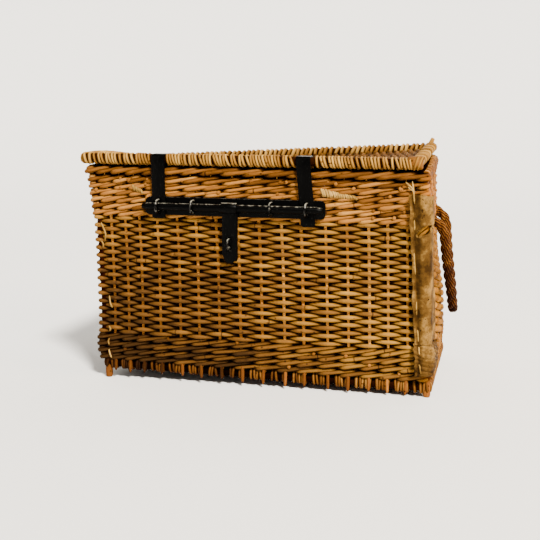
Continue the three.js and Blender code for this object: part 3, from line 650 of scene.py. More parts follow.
peg_share = np.linspace(0, 1, 9)
peg_top = on_wall(turn_at(stake_numbers, PEG_TOP), PEG_TOP, -PEG_INSIDE)
peg_low = BASE_LOW - SLANT_FALL[0] * (peg_top[:, 0] - WALL_ORIGIN_X)
peg_low = np.maximum(peg_low - random.uniform(0.001, 0.006, len(peg_top)), PEG_ROOM)
pegs = np.repeat(peg_top[:, None], len(peg_share), 1)
pegs[..., 0] += random.uniform(-0.0015, 0.0015, (len(pegs), 1)) * (1 - peg_share)
pegs[..., 2] = peg_low[:, None] * (1 - peg_share) + peg_top[:, 2:] * peg_share
peg_thick = PEG_RADIUS * np.interp(peg_share, *PEG_POINT) * random.uniform(0.9, 1.1, (len(pegs), 1))
peg_rods = rods("pegs", pegs, peg_thick, ASLANT, peeled_stake, random.uniform(0.25, 0.6, len(pegs)), sides=8)
for made in (base_sticks, base_rods, base_stick, base_wraps, peg_rods):
    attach(made, "pannier")


# Waling and siding of the wall
# Bands of waling lock the stakes at the bottom and top: three rods a row, each in front of two stakes and
# behind the next, every stroke starting low over the last one. Between them single rods go in front of one
# stake and behind the next, row on row.

# A band of waling: its heights, its rows, a rod's radius, how far a stroke rises, how far the band stands out
# and how much painted shade darkens its strokes.
BOTTOM_WALE = {"low": 0.034, "high": 0.091, "rows": 4, "radius": 0.0039, "rise": 0.0068, "out": 0.0,
               "shade": 0.38}
TOP_WALE = {"low": 0.323, "high": 0.401, "rows": 6, "radius": 0.0037, "rise": 0.0064, "out": 0.0,
            "shade": 0.08}
WALE_INSIDE, STROKE_TUCK = 0.0012, 0.0032
WALE_STEPS, WALE_SIDES = 8, 7
SIDING = {"low": 0.091, "high": 0.323, "rows": 31, "radius": 0.0039, "wave": 0.0057, "dip": 0.0009}
SIDING_STEPS, SIDING_SIDES, RODS_PER_ROW = 7, 8, 3
# How much further out the rods go round a corner post.
POST_WAVE = 0.0030
# The ends and the back are woven closer than the front, with rods thicker by this share.
CLOSER = 0.26
# The share of red, green and blue that is left on the right end: a warm tint painted for the light that falls
# on that end.
RIGHT_END_LIGHT = (1.0, 0.86, 0.40)

siding_willow = willow_finish("siding_willow", [
    (0.0, 0.030, 0.013, 0.003), (1.0, 0.49, 0.284, 0.052),
    (0.33, 0.126, 0.052, 0.009), (0.66, 0.275, 0.132, 0.018)], (0.05, 0.02, 0.006), 0.46, RIGHT_END_LIGHT)
wale_willow = willow_finish("wale_willow", [
    (0.0, 0.014, 0.004, 0.001), (1.0, 0.52, 0.272, 0.060),
    (0.33, 0.104, 0.037, 0.005), (0.66, 0.265, 0.106, 0.019)], (0.05, 0.02, 0.006), 0.42, RIGHT_END_LIGHT)


def near_post(upright):
    """1 at a corner post, 0 from half a gap away."""
    place = np.mod(upright, COUNT)
    posts_at = np.append(np.flatnonzero(IS_POST), COUNT)
    return np.clip(1 - 2 * np.abs(place[..., None] - posts_at).min(-1), 0, 1)


def uneven(upright, row, size):
    """Small slow waves along a row, three sines whose phases differ from row to row."""
    phase = random.uniform(0, 2 * np.pi, (3, *np.shape(row)))
    waves = np.sin(0.9 * upright + phase[0]) + np.sin(2.3 * upright + phase[1])
    return size * (waves + np.sin(0.31 * upright + phase[2]))


def weave_shade(front, sides):
    """Painted shade for each point of a ring, from how far its rod has come to the front: a visible stretch is
    shaded to a point at both ends, where the rods above and below close over it."""
    edge = np.abs(np.cos(np.arange(sides) * 2 * np.pi / sides))
    return smooth_step(edge - front[..., None], -0.45, 0.35)


def row_heights(band, rows):
    """The middle of each row of a band."""
    return band["low"] + (rows + 0.5) * ((band["high"] - band["low"]) / band["rows"])


def waling(name, band, material, tone):
    """Rows of three rods. Along a rod the phase runs 0 to 3 from one stake that it passes behind to the next.
    Its distance from the wall is a flattened cosine of the phase, further out at its low left end than at its
    right, and its height rises along the stroke and drops back behind the stake."""
    rows = np.repeat(np.arange(band["rows"]), 3)[:, None]
    strand = np.tile(np.arange(3), band["rows"])[:, None]
    upright = np.arange(COUNT * WALE_STEPS)[None] / WALE_STEPS
    phase = np.mod(upright - strand - rows, 3)
    wave = (1 - np.cos(2 * np.pi * phase / 3)) / 2
    front = smooth_step(wave, 0.06, 0.62)
    reach = band["radius"] * 1.05 + STAKE_RADIUS + POST_WAVE * near_post(upright)
    off = WEAVE_MIDDLE - WALE_INSIDE + band["out"] + reach * (2 * front - 1)
    off = off + front * STROKE_TUCK * (1.5 - phase)
    rise = band["rise"] * np.interp(phase, [0, 0.45, 2.55, 3], [0, -1, 1, 0])
    z = row_heights(band, rows) + rise + uneven(upright, rows, 0.0005)
    radius = band["radius"] * (1 + 0.07 * uneven(upright, rows, 1.0) + 0.10 * (1.5 - phase) / 1.5)
    # Painted shade: a stroke is shaded where it goes behind the stakes, more further along it and by the
    # band's shade.
    depth = weave_shade(1.7 * front - 0.25 - 0.22 * phase - band["shade"], WALE_SIDES)
    return rods(name, on_wall(turn_at(upright, z), z, off), radius, UP, material,
                random.uniform(*tone, len(rows)), depth=depth, sides=WALE_SIDES, closed=True)


def randing(name, band, material, tone):
    """Rows of single rods. A rod's distance from the wall is a cosine that is outermost in front of one stake
    and innermost behind the next, where it also lies a little lower, and the rows alternate. Each row is of
    three tapered rods that meet end to end."""
    rows = np.repeat(np.arange(band["rows"]), RODS_PER_ROW)[:, None]
    span = COUNT // RODS_PER_ROW
    start = np.repeat(random.integers(0, COUNT, band["rows"]), RODS_PER_ROW)[:, None]
    start = start + np.repeat(random.uniform(-0.3, 0.3, band["rows"]), RODS_PER_ROW)[:, None]
    start = start + np.tile(np.arange(RODS_PER_ROW), band["rows"])[:, None] * span
    share = np.linspace(0.0006, 0.9994, span * SIDING_STEPS + 1)[None]
    upright = start + share * span
    wave = np.cos(np.pi * (np.mod(upright, COUNT) + rows))
    reach = band["wave"] + POST_WAVE * near_post(upright)
    z = row_heights(band, rows) + uneven(upright, rows, 0.00022) - band["dip"] * (1 - wave)
    turn = turn_at(upright, z)
    radius = band["radius"] * (1.05 - 0.10 * share) * random.uniform(0.97, 1.03, rows.shape)
    off_front = smooth_step(np.mod(turn, 4), 1.02, 1.10) * smooth_step(-np.mod(turn, 4), -3.98, -3.90)
    radius = radius * (0.98 + 0.07 * wave**2 + 0.06 * (1 - wave)) * (1 + CLOSER * off_front)
    # Painted shade narrows each visible stretch of a rod to a point at both ends.
    return rods(name, on_wall(turn, z, WEAVE_MIDDLE + reach * wave), radius, UP, material,
                random.uniform(*tone, len(rows)), depth=weave_shade((wave + 0.45) / 1.1, SIDING_SIDES),
                sides=SIDING_SIDES)


bottom_wale = waling("bottom_waling", BOTTOM_WALE, siding_willow, (0.22, 0.52))
siding = randing("siding_weave", SIDING, siding_willow, (0.36, 0.64))
top_wale = waling("top_waling", TOP_WALE, wale_willow, (0.26, 0.78))
for made, node in ((bottom_wale, "bottom_wale"), (siding, "siding"), (top_wale, "top_wale")):
    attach(made, "pannier")
    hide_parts(node)


# The rim of the body
# The stakes are bent over and woven into a border of long slanting strokes along the front and back. On the
# two ends the rim is wrapped with split willow like the edge of the lid.

RIM_LOW, RIM_HIGH, RIM_EDGE = 0.4010, 0.4205, 0.017
RIM = {"low": RIM_LOW, "high": RIM_HIGH, "rows": 1, "radius": 0.0041, "rise": 0.0060, "out": 0.0030,
       "shade": 0.12}
RIM_STICK_HEIGHTS, RIM_STICK_INSIDE, RIM_STICK_RADIUS = np.array([[0.4146], [0.4040]]), 0.0150, 0.0075
# The turns between which each end is wrapped, the wraps there, of which every seventh is lost, and their
# radius, how far they stand out and how far below the rim they reach.
RIM_WRAPPED = ((1.014, 1.99), (3.01, 3.986))
RIM_WRAPS, RIM_LOST_EVERY = 54, 7
RIM_WRAP_RADIUS, RIM_WRAP_OUT, RIM_WRAP_BELOW = 0.0029, 0.001, 0.002

# The rim strokes get dark tones and painted shade, for the shadow under the lid's overhang.
rim_strokes = waling("rim_strokes", RIM, wale_willow, (0.20, 0.44))
rim_line = on_wall(np.arange(200)[None] / 50, RIM_STICK_HEIGHTS, -RIM_STICK_INSIDE)
# The rim stick is painted fully dark, as shade under the strokes and wraps.
rim_stick = rods("rim_stick", rim_line, RIM_STICK_RADIUS, UP, wale_willow, 0.1, depth=1.0, sides=10,
                 closed=True)
rim_turns = np.concatenate([np.linspace(*turns, RIM_WRAPS) for turns in RIM_WRAPPED])
rim_turns = rim_turns[np.mod(np.arange(len(rim_turns)), RIM_LOST_EVERY) > 0]
rim_turns = rim_turns + random.uniform(-0.002, 0.002, len(rim_turns))
rim_faces = [on_wall(rim_turns, RIM_LOW, off)[:, :2] for off in (RIM_WRAP_OUT, -RIM_EDGE)]
rim_wraps = wrapped_edge("rim_wraps", rim_faces, RIM_LOW - RIM_WRAP_BELOW, RIM_HIGH, RIM_WRAP_RADIUS, 0,
                         wale_willow, (0.3, 0.85))
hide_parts("body_border")
for made in (rim_strokes, rim_stick, rim_wraps):
    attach(made, "pannier")


# The lid
# A sagging panel woven like the base, inside an edge stick wrapped closely with split willow. It has warped
# with age: its back has sunk at the left and risen at the right.

LID_MIDDLE, LID_HALF_DEPTH, LID_CORNER, LID_EDGE = -0.01424, 0.198, 0.008, 0.026
LID_LOW, LID_HIGH = 0.4215, 0.445
LID_PANEL_BELOW, LID_SAG = 0.005, 0.012
# Where the straps pass between the wraps, and where the front stick comes out of them with a bare cut end.
LID_STRAPS, LID_STRAP_ROOM = np.array([-0.1817, 0.0952]), 0.0165
LID_STICK_END = 0.297
# Steps from wrap to wrap along the edge, and the share of each. The wraps' tops lean.
WRAP_GAPS, WRAP_GAP_SHARES = [0.0056, 0.0061, 0.0095], [0.38, 0.32, 0.30]
WRAP_LEAN = -0.0030
# On the right end the wraps reach less far down and come in groups: where these start, the share of that end
# from group to group, and of the gap.
RIGHT_RAISED, GROUPS_FROM, WRAP_GROUP, WRAP_GAP = 0.0045, 1.05, 0.135, 0.028
# The back has thicker wraps, set wider.
BACK_GAPS, BACK_WRAP_RADIUS, BACK_WRAP_ABOVE = (0.0090, 0.0130), 0.0043, 0.001
# Two wraps slant over the front stick near its end: X, Y outside and inside, heights, radius and lean.
TIP_X, TIP_FACES, TIP_HEIGHTS = np.array([0.3000, 0.3068]), (-0.1900, -0.1630), (0.4206, 0.4482)
TIP_RADIUS, TIP_LEAN = 0.0034, 0.0055
# Bare ends of the front stick and of a rod at the back right corner: X, Y, Z and radius.
STICK_END = np.array([
    (0.2850, -0.1765, 0.4345, 0.0118),
    (0.3060, -0.1765, 0.4345, 0.0122),
    (0.3105, -0.1765, 0.4345, 0.0116),
    (0.3118, -0.1765, 0.4345, 0.0098),
])
POKING_END = np.array([
    (0.2860, 0.196, 0.4320, 0.0055),
    (0.2920, 0.195, 0.4440, 0.0055),
    (0.2980, 0.193, 0.4560, 0.0050),
    (0.3025, 0.191, 0.4655, 0.0042),
    (0.3030, 0.191, 0.4665, 0.0030),
])

lid_straw = willow_finish("lid_straw", [
    (0.0, 0.012, 0.003, 0.001), (1.0, 0.52, 0.300, 0.068),
    (0.33, 0.090, 0.034, 0.004), (0.66, 0.238, 0.110, 0.018)], (0.10, 0.04, 0.015), 0.48)
lid_frame = (LID_MIDDLE, LID_HALF_WIDTH, LID_HALF_DEPTH, LID_CORNER, LID_EDGE)
lid_height = (LID_LOW + LID_HIGH) / 2
lid_sticks, lid_rods = woven_panel("lid", lid_frame, lid_height - LID_PANEL_BELOW, LID_SAG, siding_willow,
                                   (0.05, 0.35))
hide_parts("lid_panel")
lid_stick = edge_stick("lid_stick", lid_frame, lid_height, lid_straw, 0.3)

lid_corners = np.cumsum([0, *2 * np.array([LID_HALF_WIDTH, LID_HALF_DEPTH] * 2)])
lid_run = np.cumsum(random.choice(WRAP_GAPS, 400, p=WRAP_GAP_SHARES))
lid_turns = np.interp(lid_run[lid_run < lid_corners[-1]], lid_corners, np.arange(5))
wrap_x = on_edge(lid_turns, 0, lid_frame)[:, 0]
covered = (np.abs(wrap_x[:, None] - LID_STRAPS).min(1) < LID_STRAP_ROOM) | (wrap_x > LID_STICK_END)
parted = np.mod(lid_turns - GROUPS_FROM, WRAP_GROUP) > WRAP_GROUP - WRAP_GAP
on_front_edge, on_right, on_left = lid_turns < 1, (lid_turns > 1) & (lid_turns < 2), lid_turns > 3
wrapped = on_front_edge & ~covered | on_right & ~parted & (lid_turns >= GROUPS_FROM) | on_left
lid_wrap_low = LID_LOW + RIGHT_RAISED * on_right[wrapped]
lid_wraps = wrapped_edge("lid_wraps", edge_faces(lid_turns[wrapped], lid_frame), lid_wrap_low, LID_HIGH,
                         WRAP_RADIUS, WRAP_LEAN, lid_straw, (0.56, 0.90))
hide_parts("lid_border")
back_turns = 2 + np.cumsum(random.uniform(*BACK_GAPS, 80)) / (2 * LID_HALF_WIDTH)
back_wraps = wrapped_edge("lid_back_wraps", edge_faces(back_turns[back_turns < 2.99], lid_frame), LID_LOW,
                          LID_HIGH + BACK_WRAP_ABOVE, BACK_WRAP_RADIUS, WRAP_LEAN, lid_straw, (0.56, 0.90))
tip_faces = [np.stack([TIP_X, np.full_like(TIP_X, y)], -1) for y in TIP_FACES]
tip_wraps = wrapped_edge("lid_tip_wraps", tip_faces, *TIP_HEIGHTS, TIP_RADIUS, TIP_LEAN, lid_straw,
                         (0.55, 0.75))
stick_end = rods("lid_stick_end", STICK_END[None, :, :3], STICK_END[:, 3], UP, wale_willow, 0.40, sides=20)
poking_end = rods("lid_poking_end", POKING_END[None, :, :3], POKING_END[:, 3], (0.0, 1.0, 0.0), lid_straw,
                  0.75, sides=12)
for made in (lid_sticks, lid_rods, lid_stick, lid_wraps, back_wraps, tip_wraps, stick_end, poking_end):
    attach(made, "pannier")


# Ironwork
# Flat bars forged and painted black, worn to bare grey along their edges: the lock plate, the staples, the
# two straps round the lid's edge, the bolt with its hasp, and the hinges at the back.

# Each finish: how worn it is all over, how much lighter it is on faces that look up, partly wear and partly a
# painted highlight, and the pieces that have it.
IRONWORK = {
    "black_iron": (-0.05, 0.29, ("lock_plate", "bolt_rod", "bolt_hasp")),
    "rubbed_iron": (0.13, 0.29, (
        "bolt_staple_1", "bolt_staple_2", "bolt_staple_3", "bolt_staple_4", "padlock_staple")),
    "strap_iron": (-0.05, 0.08, ("strap_left", "strap_right", "hinge_left", "hinge_right")),
}
IRON_ROUND, IRON_WELD, IRON_EDGE = 0.0007, 0.00002, np.radians(32)


def iron_finish(name, wear, upper_wear_and_highlight):
    """Black paint over iron: the paint is chipped where a noise is high, rubbed off where the edge turns and
    lighter on faces that look up, partly worn and partly a painted highlight, by the third argument. wear adds
    to all of it."""
    material, tree, shader = finish_of(name)
    place = node_of(tree, "TexCoord", "Object", {})
    normal = node_of(tree, "TexCoord", "Normal", {})
    upward = node_of(tree, "SeparateXYZ", "Z", {"Vector": normal})
    edges = node_of(tree, "NewGeometry", "Pointiness", {})
    worn = noise_of(tree, place, 150, 6, 0.7)
    # Faces that look up are lighter: partly wear, partly a painted highlight.
    worn = sum_of(tree, "ADD", worn, range_of(tree, upward, 0.55, 0.95, 0, upper_wear_and_highlight))
    worn = sum_of(tree, "ADD", worn, range_of(tree, edges, 0.56, 0.66, 0, 0.28))
    bare = range_of(tree, worn, 0.60 - wear, 0.82 - wear)
    feed(tree, shader, {
        "Base Color": ramp_of(tree, bare, [
            (0.0, 0.0003, 0.0003, 0.0003), (1.0, 0.17, 0.165, 0.135), (0.45, 0.006, 0.0055, 0.0045)]),
        "Roughness": 0.36,
        "Specular IOR Level": range_of(tree, bare, 0, 1, 0.03, 0.6),
        "Normal": bump_of(tree, noise_of(tree, place, 45, 4), 0.45, 0.0015),
    })
    return material


for name, (wear, upper_wear_and_highlight, pieces) in IRONWORK.items():
    iron = iron_finish(name, wear, upper_wear_and_highlight)
    for piece in pieces:
        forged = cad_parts[piece]
        forged.material_slots[0].material = iron
        forged.modifiers.new("weld", "WELD").merge_threshold = IRON_WELD
        bevel = forged.modifiers.new("worn_edges", "BEVEL")
        bevel.width, bevel.segments = IRON_ROUND, 2
        bevel.limit_method, bevel.angle_limit = "ANGLE", IRON_EDGE
        bevel.harden_normals = True
        forged.data.polygons.foreach_set("use_smooth", np.ones(len(forged.data.polygons), bool))


# Rawhide guard on the front right corner
# A stiff sheet of buff hide folded round the corner and laced on with thongs, with a turned-up front edge
# and a tear, and a separate cap over its lower end.

HIDE_COLUMNS, HIDE_ROWS = 84, 200
HIDE_THICK = 0.0022
HIDE_BULGE, HIDE_BULGE_AT, HIDE_REACH = 0.0065, -0.0075, 0.0125
# It lies on the weave, which stands out further in the waling: heights, and distances from the wall there.
HIDE_CLEAR = [(0.085, 0.100, 0.315, 0.335), (0.0055, 0.0010, 0.0010, 0.0040)]
HIDE_LIP, HIDE_LIP_WIDTH = 0.0065, 0.0085
# Each sheet's heights, and its front and side edges round the corner at its foot and its top.
HIDE_MAIN = {"low": 0.105, "high": 0.376, "front": (-0.025, -0.034), "side": (0.040, 0.036)}
HIDE_CAP = {"low": 0.047, "high": 0.1042, "front": (-0.023, -0.026), "side": (0.046, 0.048)}
CAP_DIRT = 0.4
# The tear's middle, its half sizes and its slant up towards the corner, the share of the guard's height at
# which it lies, how far its edge turns up, and the rim along that edge.
TEAR = {"z": 0.3135, "around": -0.0096, "half_length": 0.0155, "half_width": 0.0066,
        "run": 0.66, "climb": 0.75}
TEAR_UP, TEAR_LIP = 0.77, 0.0022
TEAR_RIM_LIFT, TEAR_RIM_RADIUS = 0.0030, 0.0015
TEAR_FACING = (0.5, -0.8, 0.0)
# Two rods of the weave show in the tear: how far beside its middle they lie, how far below, and their radius.
UNDER_BESIDE, UNDER_BELOW, UNDER_RADIUS = np.array([[-0.0036], [0.0030]]), 0.0042, 0.0033


def round_corner(z, around, off):
    """The point a distance round the front right corner, negative on the front, and off outside it."""
    middle, skew, half_width, half_depth, bow = wall_at(z)
    run = np.where(around < 0, half_width, half_depth) - WALL_CORNER
    turn = 1 + around / (2 * run + WALL_CORNER * np.pi / 2)
    x, y = round_frame(turn, off, middle, skew, half_width, half_depth, bow, WALL_CORNER)
    return np.stack([x, y, z], -1)


def hide_off(around, z, front, up):
    """How far the hide stands off the wall: a bell over the post and a lip along its front edge, both
    wavering."""
    bell = np.exp(-(((around - HIDE_BULGE_AT) / HIDE_REACH) ** 2))
    bulge = HIDE_BULGE * bell * (1 + 0.10 * np.sin(9 * up + 1) + 0.06 * np.sin(31 * up))
    lip = HIDE_LIP * (1 - smooth_step(around, front, front + HIDE_LIP_WIDTH))
    waver = 0.82 + 0.12 * np.sin(7 * up) + 0.06 * np.sin(23 * up + 2)
    return np.interp(z, *HIDE_CLEAR) + bulge + lip * waver


def hide_edge(cut, edge, up):
    """Where an edge of a sheet lies round the corner, at a share of its height."""
    foot, top = cut[edge]
    return foot + up * (top - foot)


def hide_sheet(name, cut, material, torn, pucker):
    """A sheet on a grid of rows up the corner and columns round it, standing off the wall as hide_off says,
    with shallow waves and puckers. Faces inside the tear's slanting oval are left out, and its rim stands up.
    The flat size is the mean run along its rows and along its columns."""
    up, across = np.meshgrid(np.linspace(0, 1, HIDE_ROWS), np.linspace(0, 1, HIDE_COLUMNS), indexing="ij")
    front, side = hide_edge(cut, "front", up), hide_edge(cut, "side", up)
    ragged = 0.0007 * np.sin(up * 37) + 0.0008 * np.sin(up * 13 + 1)
    around = front + across * (side - front) + ragged * (1 - 2 * across)
    z = cut["low"] + up * (cut["high"] - cut["low"])
    z = z + (0.0022 * np.sin(across * 5 + 0.6) + 0.0010 * np.sin(across * 23)) * (2 * up - 1)
    off = hide_off(around, z, front, up)
    off = off + pucker * np.sin(up * 41 + 9 * across) * np.sin(across * 13 + up * 7)
    number = np.arange(up.size).reshape(up.shape)
    faces = np.stack([number[:-1, :-1], number[:-1, 1:], number[1:, 1:], number[1:, :-1]], -1)
    # Painted shade in the groove behind the turned-up lip; the cap adds CAP_DIRT, its own darker colour.
    groove_shade_and_dirt = smooth_step(around, front, front + HIDE_LIP_WIDTH) * smooth_step(-around, 0.009, 0.016)
    if torn:
        beyond, above = around - TEAR["around"], z - TEAR["z"]
        along = (TEAR["run"] * beyond + TEAR["climb"] * above) / TEAR["half_length"]
        beside = (TEAR["run"] * above - TEAR["climb"] * beyond) / TEAR["half_width"]
        ring = np.sqrt(along**2 + beside**2) + 0.12 * np.sin(9 * np.arctan2(beside, along))
        off = off + TEAR_LIP * np.exp(-(((ring - 1) / 0.45) ** 2))
        faces = faces[~((ring[:-1, :-1] < 1) & (ring[1:, 1:] < 1))]
    else:
        groove_shade_and_dirt = groove_shade_and_dirt + CAP_DIRT
    faces = faces.reshape(-1, 4)
    points = round_corner(z, around, off)
    corner_uv = np.stack([across, up], -1).reshape(-1, 2)[faces.ravel()]
    made = object_of(name, points.reshape(-1, 3), [faces], corner_uv, {"groove_shade_and_dirt": groove_shade_and_dirt}, material)
    solid = made.modifiers.new("thickness", "SOLIDIFY")
    solid.thickness, solid.offset = HIDE_THICK, 1
    run_round = np.linalg.norm(np.diff(points, axis=1), axis=2).sum(1).mean()
    run_up = np.linalg.norm(np.diff(points, axis=0), axis=2).sum(0).mean()
    return made, (run_round, run_up)


def hide_finish(name, stops):
    """Dry rawhide: mottled by a noise, darker by a painted shade in the groove behind its lip and darker all
    over on the cap, with black flecks, finely creased.
    """
    material, tree, shader = finish_of(name)
    place = node_of(tree, "TexCoord", "Object", {})
    groove_shade_and_dirt = node_of(tree, "Attribute", "Fac", {}, attribute_name="groove_shade_and_dirt")
    mottle_shade_and_dirt = sum_of(tree, "MULTIPLY_ADD", groove_shade_and_dirt, -0.13, noise_of(tree, place, 30, 7, 0.68))
    flecks = range_of(tree, noise_of(tree, place, 190, 2), 0.68, 0.76, 0, -0.35)
    feed(tree, shader, {
        "Base Color": ramp_of(tree, sum_of(tree, "ADD", mottle_shade_and_dirt, flecks), stops),
        "Roughness": 0.7,
        "Specular IOR Level": 0.04,
        "Normal": bump_of(tree, noise_of(tree, place, 120, 4), 0.4, 0.0012),
    })
    return material


rawhide_skin = hide_finish("rawhide_skin", [
    (0.18, 0.003, 0.001, 0.000), (0.74, 0.32, 0.180, 0.046),
    (0.36, 0.026, 0.011, 0.001), (0.50, 0.076, 0.036, 0.006)])
for name, node, cut, torn, pucker in (
    ("hide_guard", "corner_hide", HIDE_MAIN, True, 0.0005),
    ("hide_cap", "corner_hide_foot", HIDE_CAP, False, 0.0011),
):
    hide, hide_flat = hide_sheet(name, cut, rawhide_skin, torn, pucker)
    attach(hide, "pannier")
    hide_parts(node)


def at_tear(along, beside, lift):
    """The point this far along the tear and beside its middle, lifted off the hide."""
    around = TEAR["around"] + TEAR["run"] * along - TEAR["climb"] * beside
    z = TEAR["z"] + TEAR["climb"] * along + TEAR["run"] * beside
    return round_corner(z, around, hide_off(around, z, HIDE_MAIN["front"][1], TEAR_UP) + lift)


tear_turn = np.arange(36) * 2 * np.pi / 36
tear_beside = TEAR["half_width"] * np.sin(tear_turn) * (1 + 0.15 * np.sin(3 * tear_turn))
tear_line = at_tear(TEAR["half_length"] * np.cos(tear_turn), tear_beside,
                    TEAR_RIM_LIFT + 0.0012 * np.sin(2 * tear_turn + 0.5))
tear_rim = rods("tear_rim", tear_line[None], TEAR_RIM_RADIUS + 0.0004 * np.sin(5 * tear_turn), TEAR_FACING,
                rawhide_skin, 0.5, sides=8, closed=True)
under_lines = at_tear(np.linspace(-1.3, 1.3, 11) * TEAR["half_length"], UNDER_BESIDE, -UNDER_BELOW)
tear_rods = rods("tear_rods", under_lines, UNDER_RADIUS, TEAR_FACING, siding_willow, np.array([0.45, 0.62]),
                 sides=9)
for made, slot in ((tear_rim, "rawhide"), (tear_rods, "willow")):
    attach(made, "pannier")


# Thongs
# Thin strips of pale hide. They lace the guard to the weave along its front edge, tie its top to the waling,
# bind two cracked rods, and hang in scraps on the left corner, whose guard is gone.

THONG_RADIUS, THONG_POINTS = 0.0011, 15
THONG_TAPER = [(0, 0.12, 0.88, 1), (0.45, 1, 1, 0.45)]
# Each lacing stitch: heights of its ends and their distances round the corner.
STITCHES = [
    (0.333, -0.0250, 0.313, -0.0242),
    (0.273, -0.0258, 0.233, -0.0232),
    (0.184, -0.0212, 0.157, -0.0206),
    (0.131, -0.0185, 0.107, -0.0165),
    (0.101, -0.0160, 0.086, -0.0146),
    (0.070, -0.0168, 0.050, -0.0110),
]
STITCH_ARCH, STITCH_SUNK = 0.0012, 0.0006
# The tie above the guard: points with their height, distance round the corner and distance off the wall.
TIES = [
    [(0.402, -0.0272, 0.001), (0.386, -0.0252, 0.004), (0.374, -0.0243, 0.0115), (0.362, -0.0235, 0.0100)],
    [(0.400, -0.0390, 0.001), (0.394, -0.0320, 0.003), (0.388, -0.0265, 0.004), (0.385, -0.0250, 0.003)],
    [(0.392, -0.0350, 0.001), (0.388, -0.0310, 0.003), (0.386, -0.0275, 0.004), (0.383, -0.0248, 0.003)],
]
# Scraps on the left corner: points of X and height, and the distance of the four off the wall.
SCRAPS = [
    [(-0.303, 0.310), (-0.297, 0.300), (-0.2922, 0.289), (-0.2948, 0.272)],
    [(-0.306, 0.276), (-0.300, 0.272), (-0.297, 0.266), (-0.2985, 0.260)],
    [(-0.2885, 0.166), (-0.2862, 0.158), (-0.284, 0.150), (-0.2815, 0.143)],
    [(-0.2905, 0.106), (-0.287, 0.103), (-0.2855, 0.100), (-0.289, 0.097)],
    [(-0.2903, 0.080), (-0.2908, 0.076), (-0.2905, 0.072), (-0.2898, 0.067)],
    [(-0.2918, 0.056), (-0.290, 0.050), (-0.288, 0.044), (-0.2866, 0.038)],
]
SCRAP_OFF = np.array([-0.001, 0.0025, 0.0035, 0.002])
# Bindings round rods of the top waling: X and height of the two ends, turns, radius at the two ends.
BINDINGS = [
    (0.129, 0.3775, 0.191, 0.3690, 15, 0.0058, 0.0022),
    (-0.2345, 0.3780, -0.2200, 0.3715, 4, 0.0042, 0.0034),
]
BINDING_INSIDE, BINDING_SLANT, BINDING_RADIUS, BINDING_POINTS = 0.0030, 0.0026, 0.0024, 14

pale_thong = hide_finish("pale_thong", [
    (0.18, 0.015, 0.006, 0.001), (0.74, 0.50, 0.31, 0.09),
    (0.36, 0.075, 0.033, 0.005), (0.50, 0.22, 0.122, 0.026)])


def on_front(x, z, off):
    """The point of the front wall at this X and height, off outside it."""
    return on_wall(turn_of_front(x, z), z, off)


def thongs(name, lines, flat):
    """Thin strips along lines of points, each line made smooth, drawn wider one way by flat and tapered at
    both ends."""
    paths = np.stack([curve_through(np.asarray(line), THONG_POINTS) for line in lines])
    taper = np.interp(np.linspace(0, 1, THONG_POINTS), *THONG_TAPER)
    return rods(name, paths, THONG_RADIUS * taper, (0.15, 1.0, 0.1), pale_thong, 0.5, sides=8, flat=flat)


stitch_lines = []
for top, top_around, low, low_around in STITCHES:
    share = np.linspace(0, 1, 7)
    z = top + share * (low - top)
    around = top_around + share * (low_around - top_around)
    cut = HIDE_MAIN if top > HIDE_MAIN["low"] else HIDE_CAP
    up = (z - cut["low"]) / (cut["high"] - cut["low"])
    lifted = hide_off(around, z, hide_edge(cut, "front", up), up) + HIDE_THICK
    stitch_lines.append(round_corner(z, around, lifted + STITCH_ARCH * np.sin(np.pi * share) - STITCH_SUNK))
stitches = thongs("stitches", stitch_lines, 1.3)
ties = thongs("ties", [round_corner(*np.array(line).T) for line in TIES], 1.2)
scraps = thongs("scraps", [on_front(*np.array(line).T, SCRAP_OFF) for line in SCRAPS], 1.5)

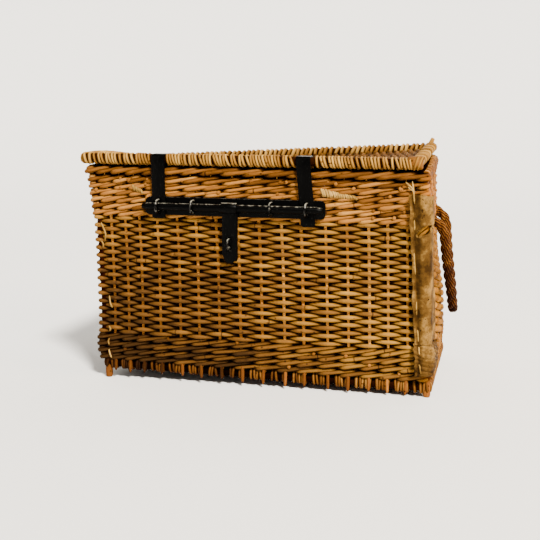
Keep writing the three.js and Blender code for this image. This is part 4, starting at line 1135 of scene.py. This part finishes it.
bound = []
for x0, z0, x1, z1, turns, wide, narrow in BINDINGS:
    share = np.linspace(0, 1, turns)
    middle = on_front(x0 + share * (x1 - x0), z0 + share * (z1 - z0), -BINDING_INSIDE)
    reach = (wide + share * (narrow - wide)) * random.uniform(0.92, 1.06, turns)
    a = np.arange(BINDING_POINTS) * 2 * np.pi / BINDING_POINTS
    ring = np.repeat(middle[:, None], BINDING_POINTS, 1)
    ring[..., 0] += BINDING_SLANT * np.cos(a + 0.8) + random.uniform(-0.001, 0.001, (turns, 1))
    ring[..., 1] -= reach[:, None] * np.cos(a)
    ring[..., 2] += reach[:, None] * np.sin(a)
    bound.append(ring)
bindings = rods("bindings", np.concatenate(bound), BINDING_RADIUS, (1.0, 0.0, 0.0), pale_thong, 0.5, sides=6,
                closed=True)
for made in (stitches, ties, scraps, bindings):
    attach(made, "pannier")


# Cut ends in the waling
# Where a new rod is let in, its butt and the old rod's tip are cut short and show as small round ends between
# the strokes, in the colour of the rods.

CUT_ENDS = 120
CUT_END_RADIUS, CUT_END_INSIDE, CUT_END_DROP = 0.0031, 0.010, 0.002
# Their rows: heights of four in the bottom waling and of seven in the top, which has more of them under the
# rim.
CUT_END_ROWS = np.array([0.048, 0.062, 0.076, 0.088, 0.336, 0.349, 0.362, 0.375, 0.388, 0.395, 0.397])

stub_upright = random.uniform(0, COUNT, CUT_ENDS)
stub_z = random.choice(CUT_END_ROWS, CUT_ENDS) + random.uniform(-0.0015, 0.0015, CUT_ENDS)
stub_share = np.array([0.0, 0.6, 0.93, 1.0])
stub_off = -CUT_END_INSIDE + stub_share * random.uniform(0.0085, 0.0115, (CUT_ENDS, 1))
stub_slide = stub_share * random.uniform(-0.06, 0.10, (CUT_ENDS, 1))
stub_turn = turn_at(stub_upright[:, None] + stub_slide, stub_z[:, None])
stub_paths = on_wall(stub_turn, stub_z[:, None] - CUT_END_DROP * stub_share, stub_off)
stub_thick = CUT_END_RADIUS * np.array([1, 1, 1, 0.8]) * random.uniform(0.75, 1.15, (CUT_ENDS, 1))
cut_ends = rods("cut_ends", stub_paths, stub_thick, UP, wale_willow, random.uniform(0.40, 0.65, CUT_ENDS),
                sides=9)
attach(cut_ends, "pannier")
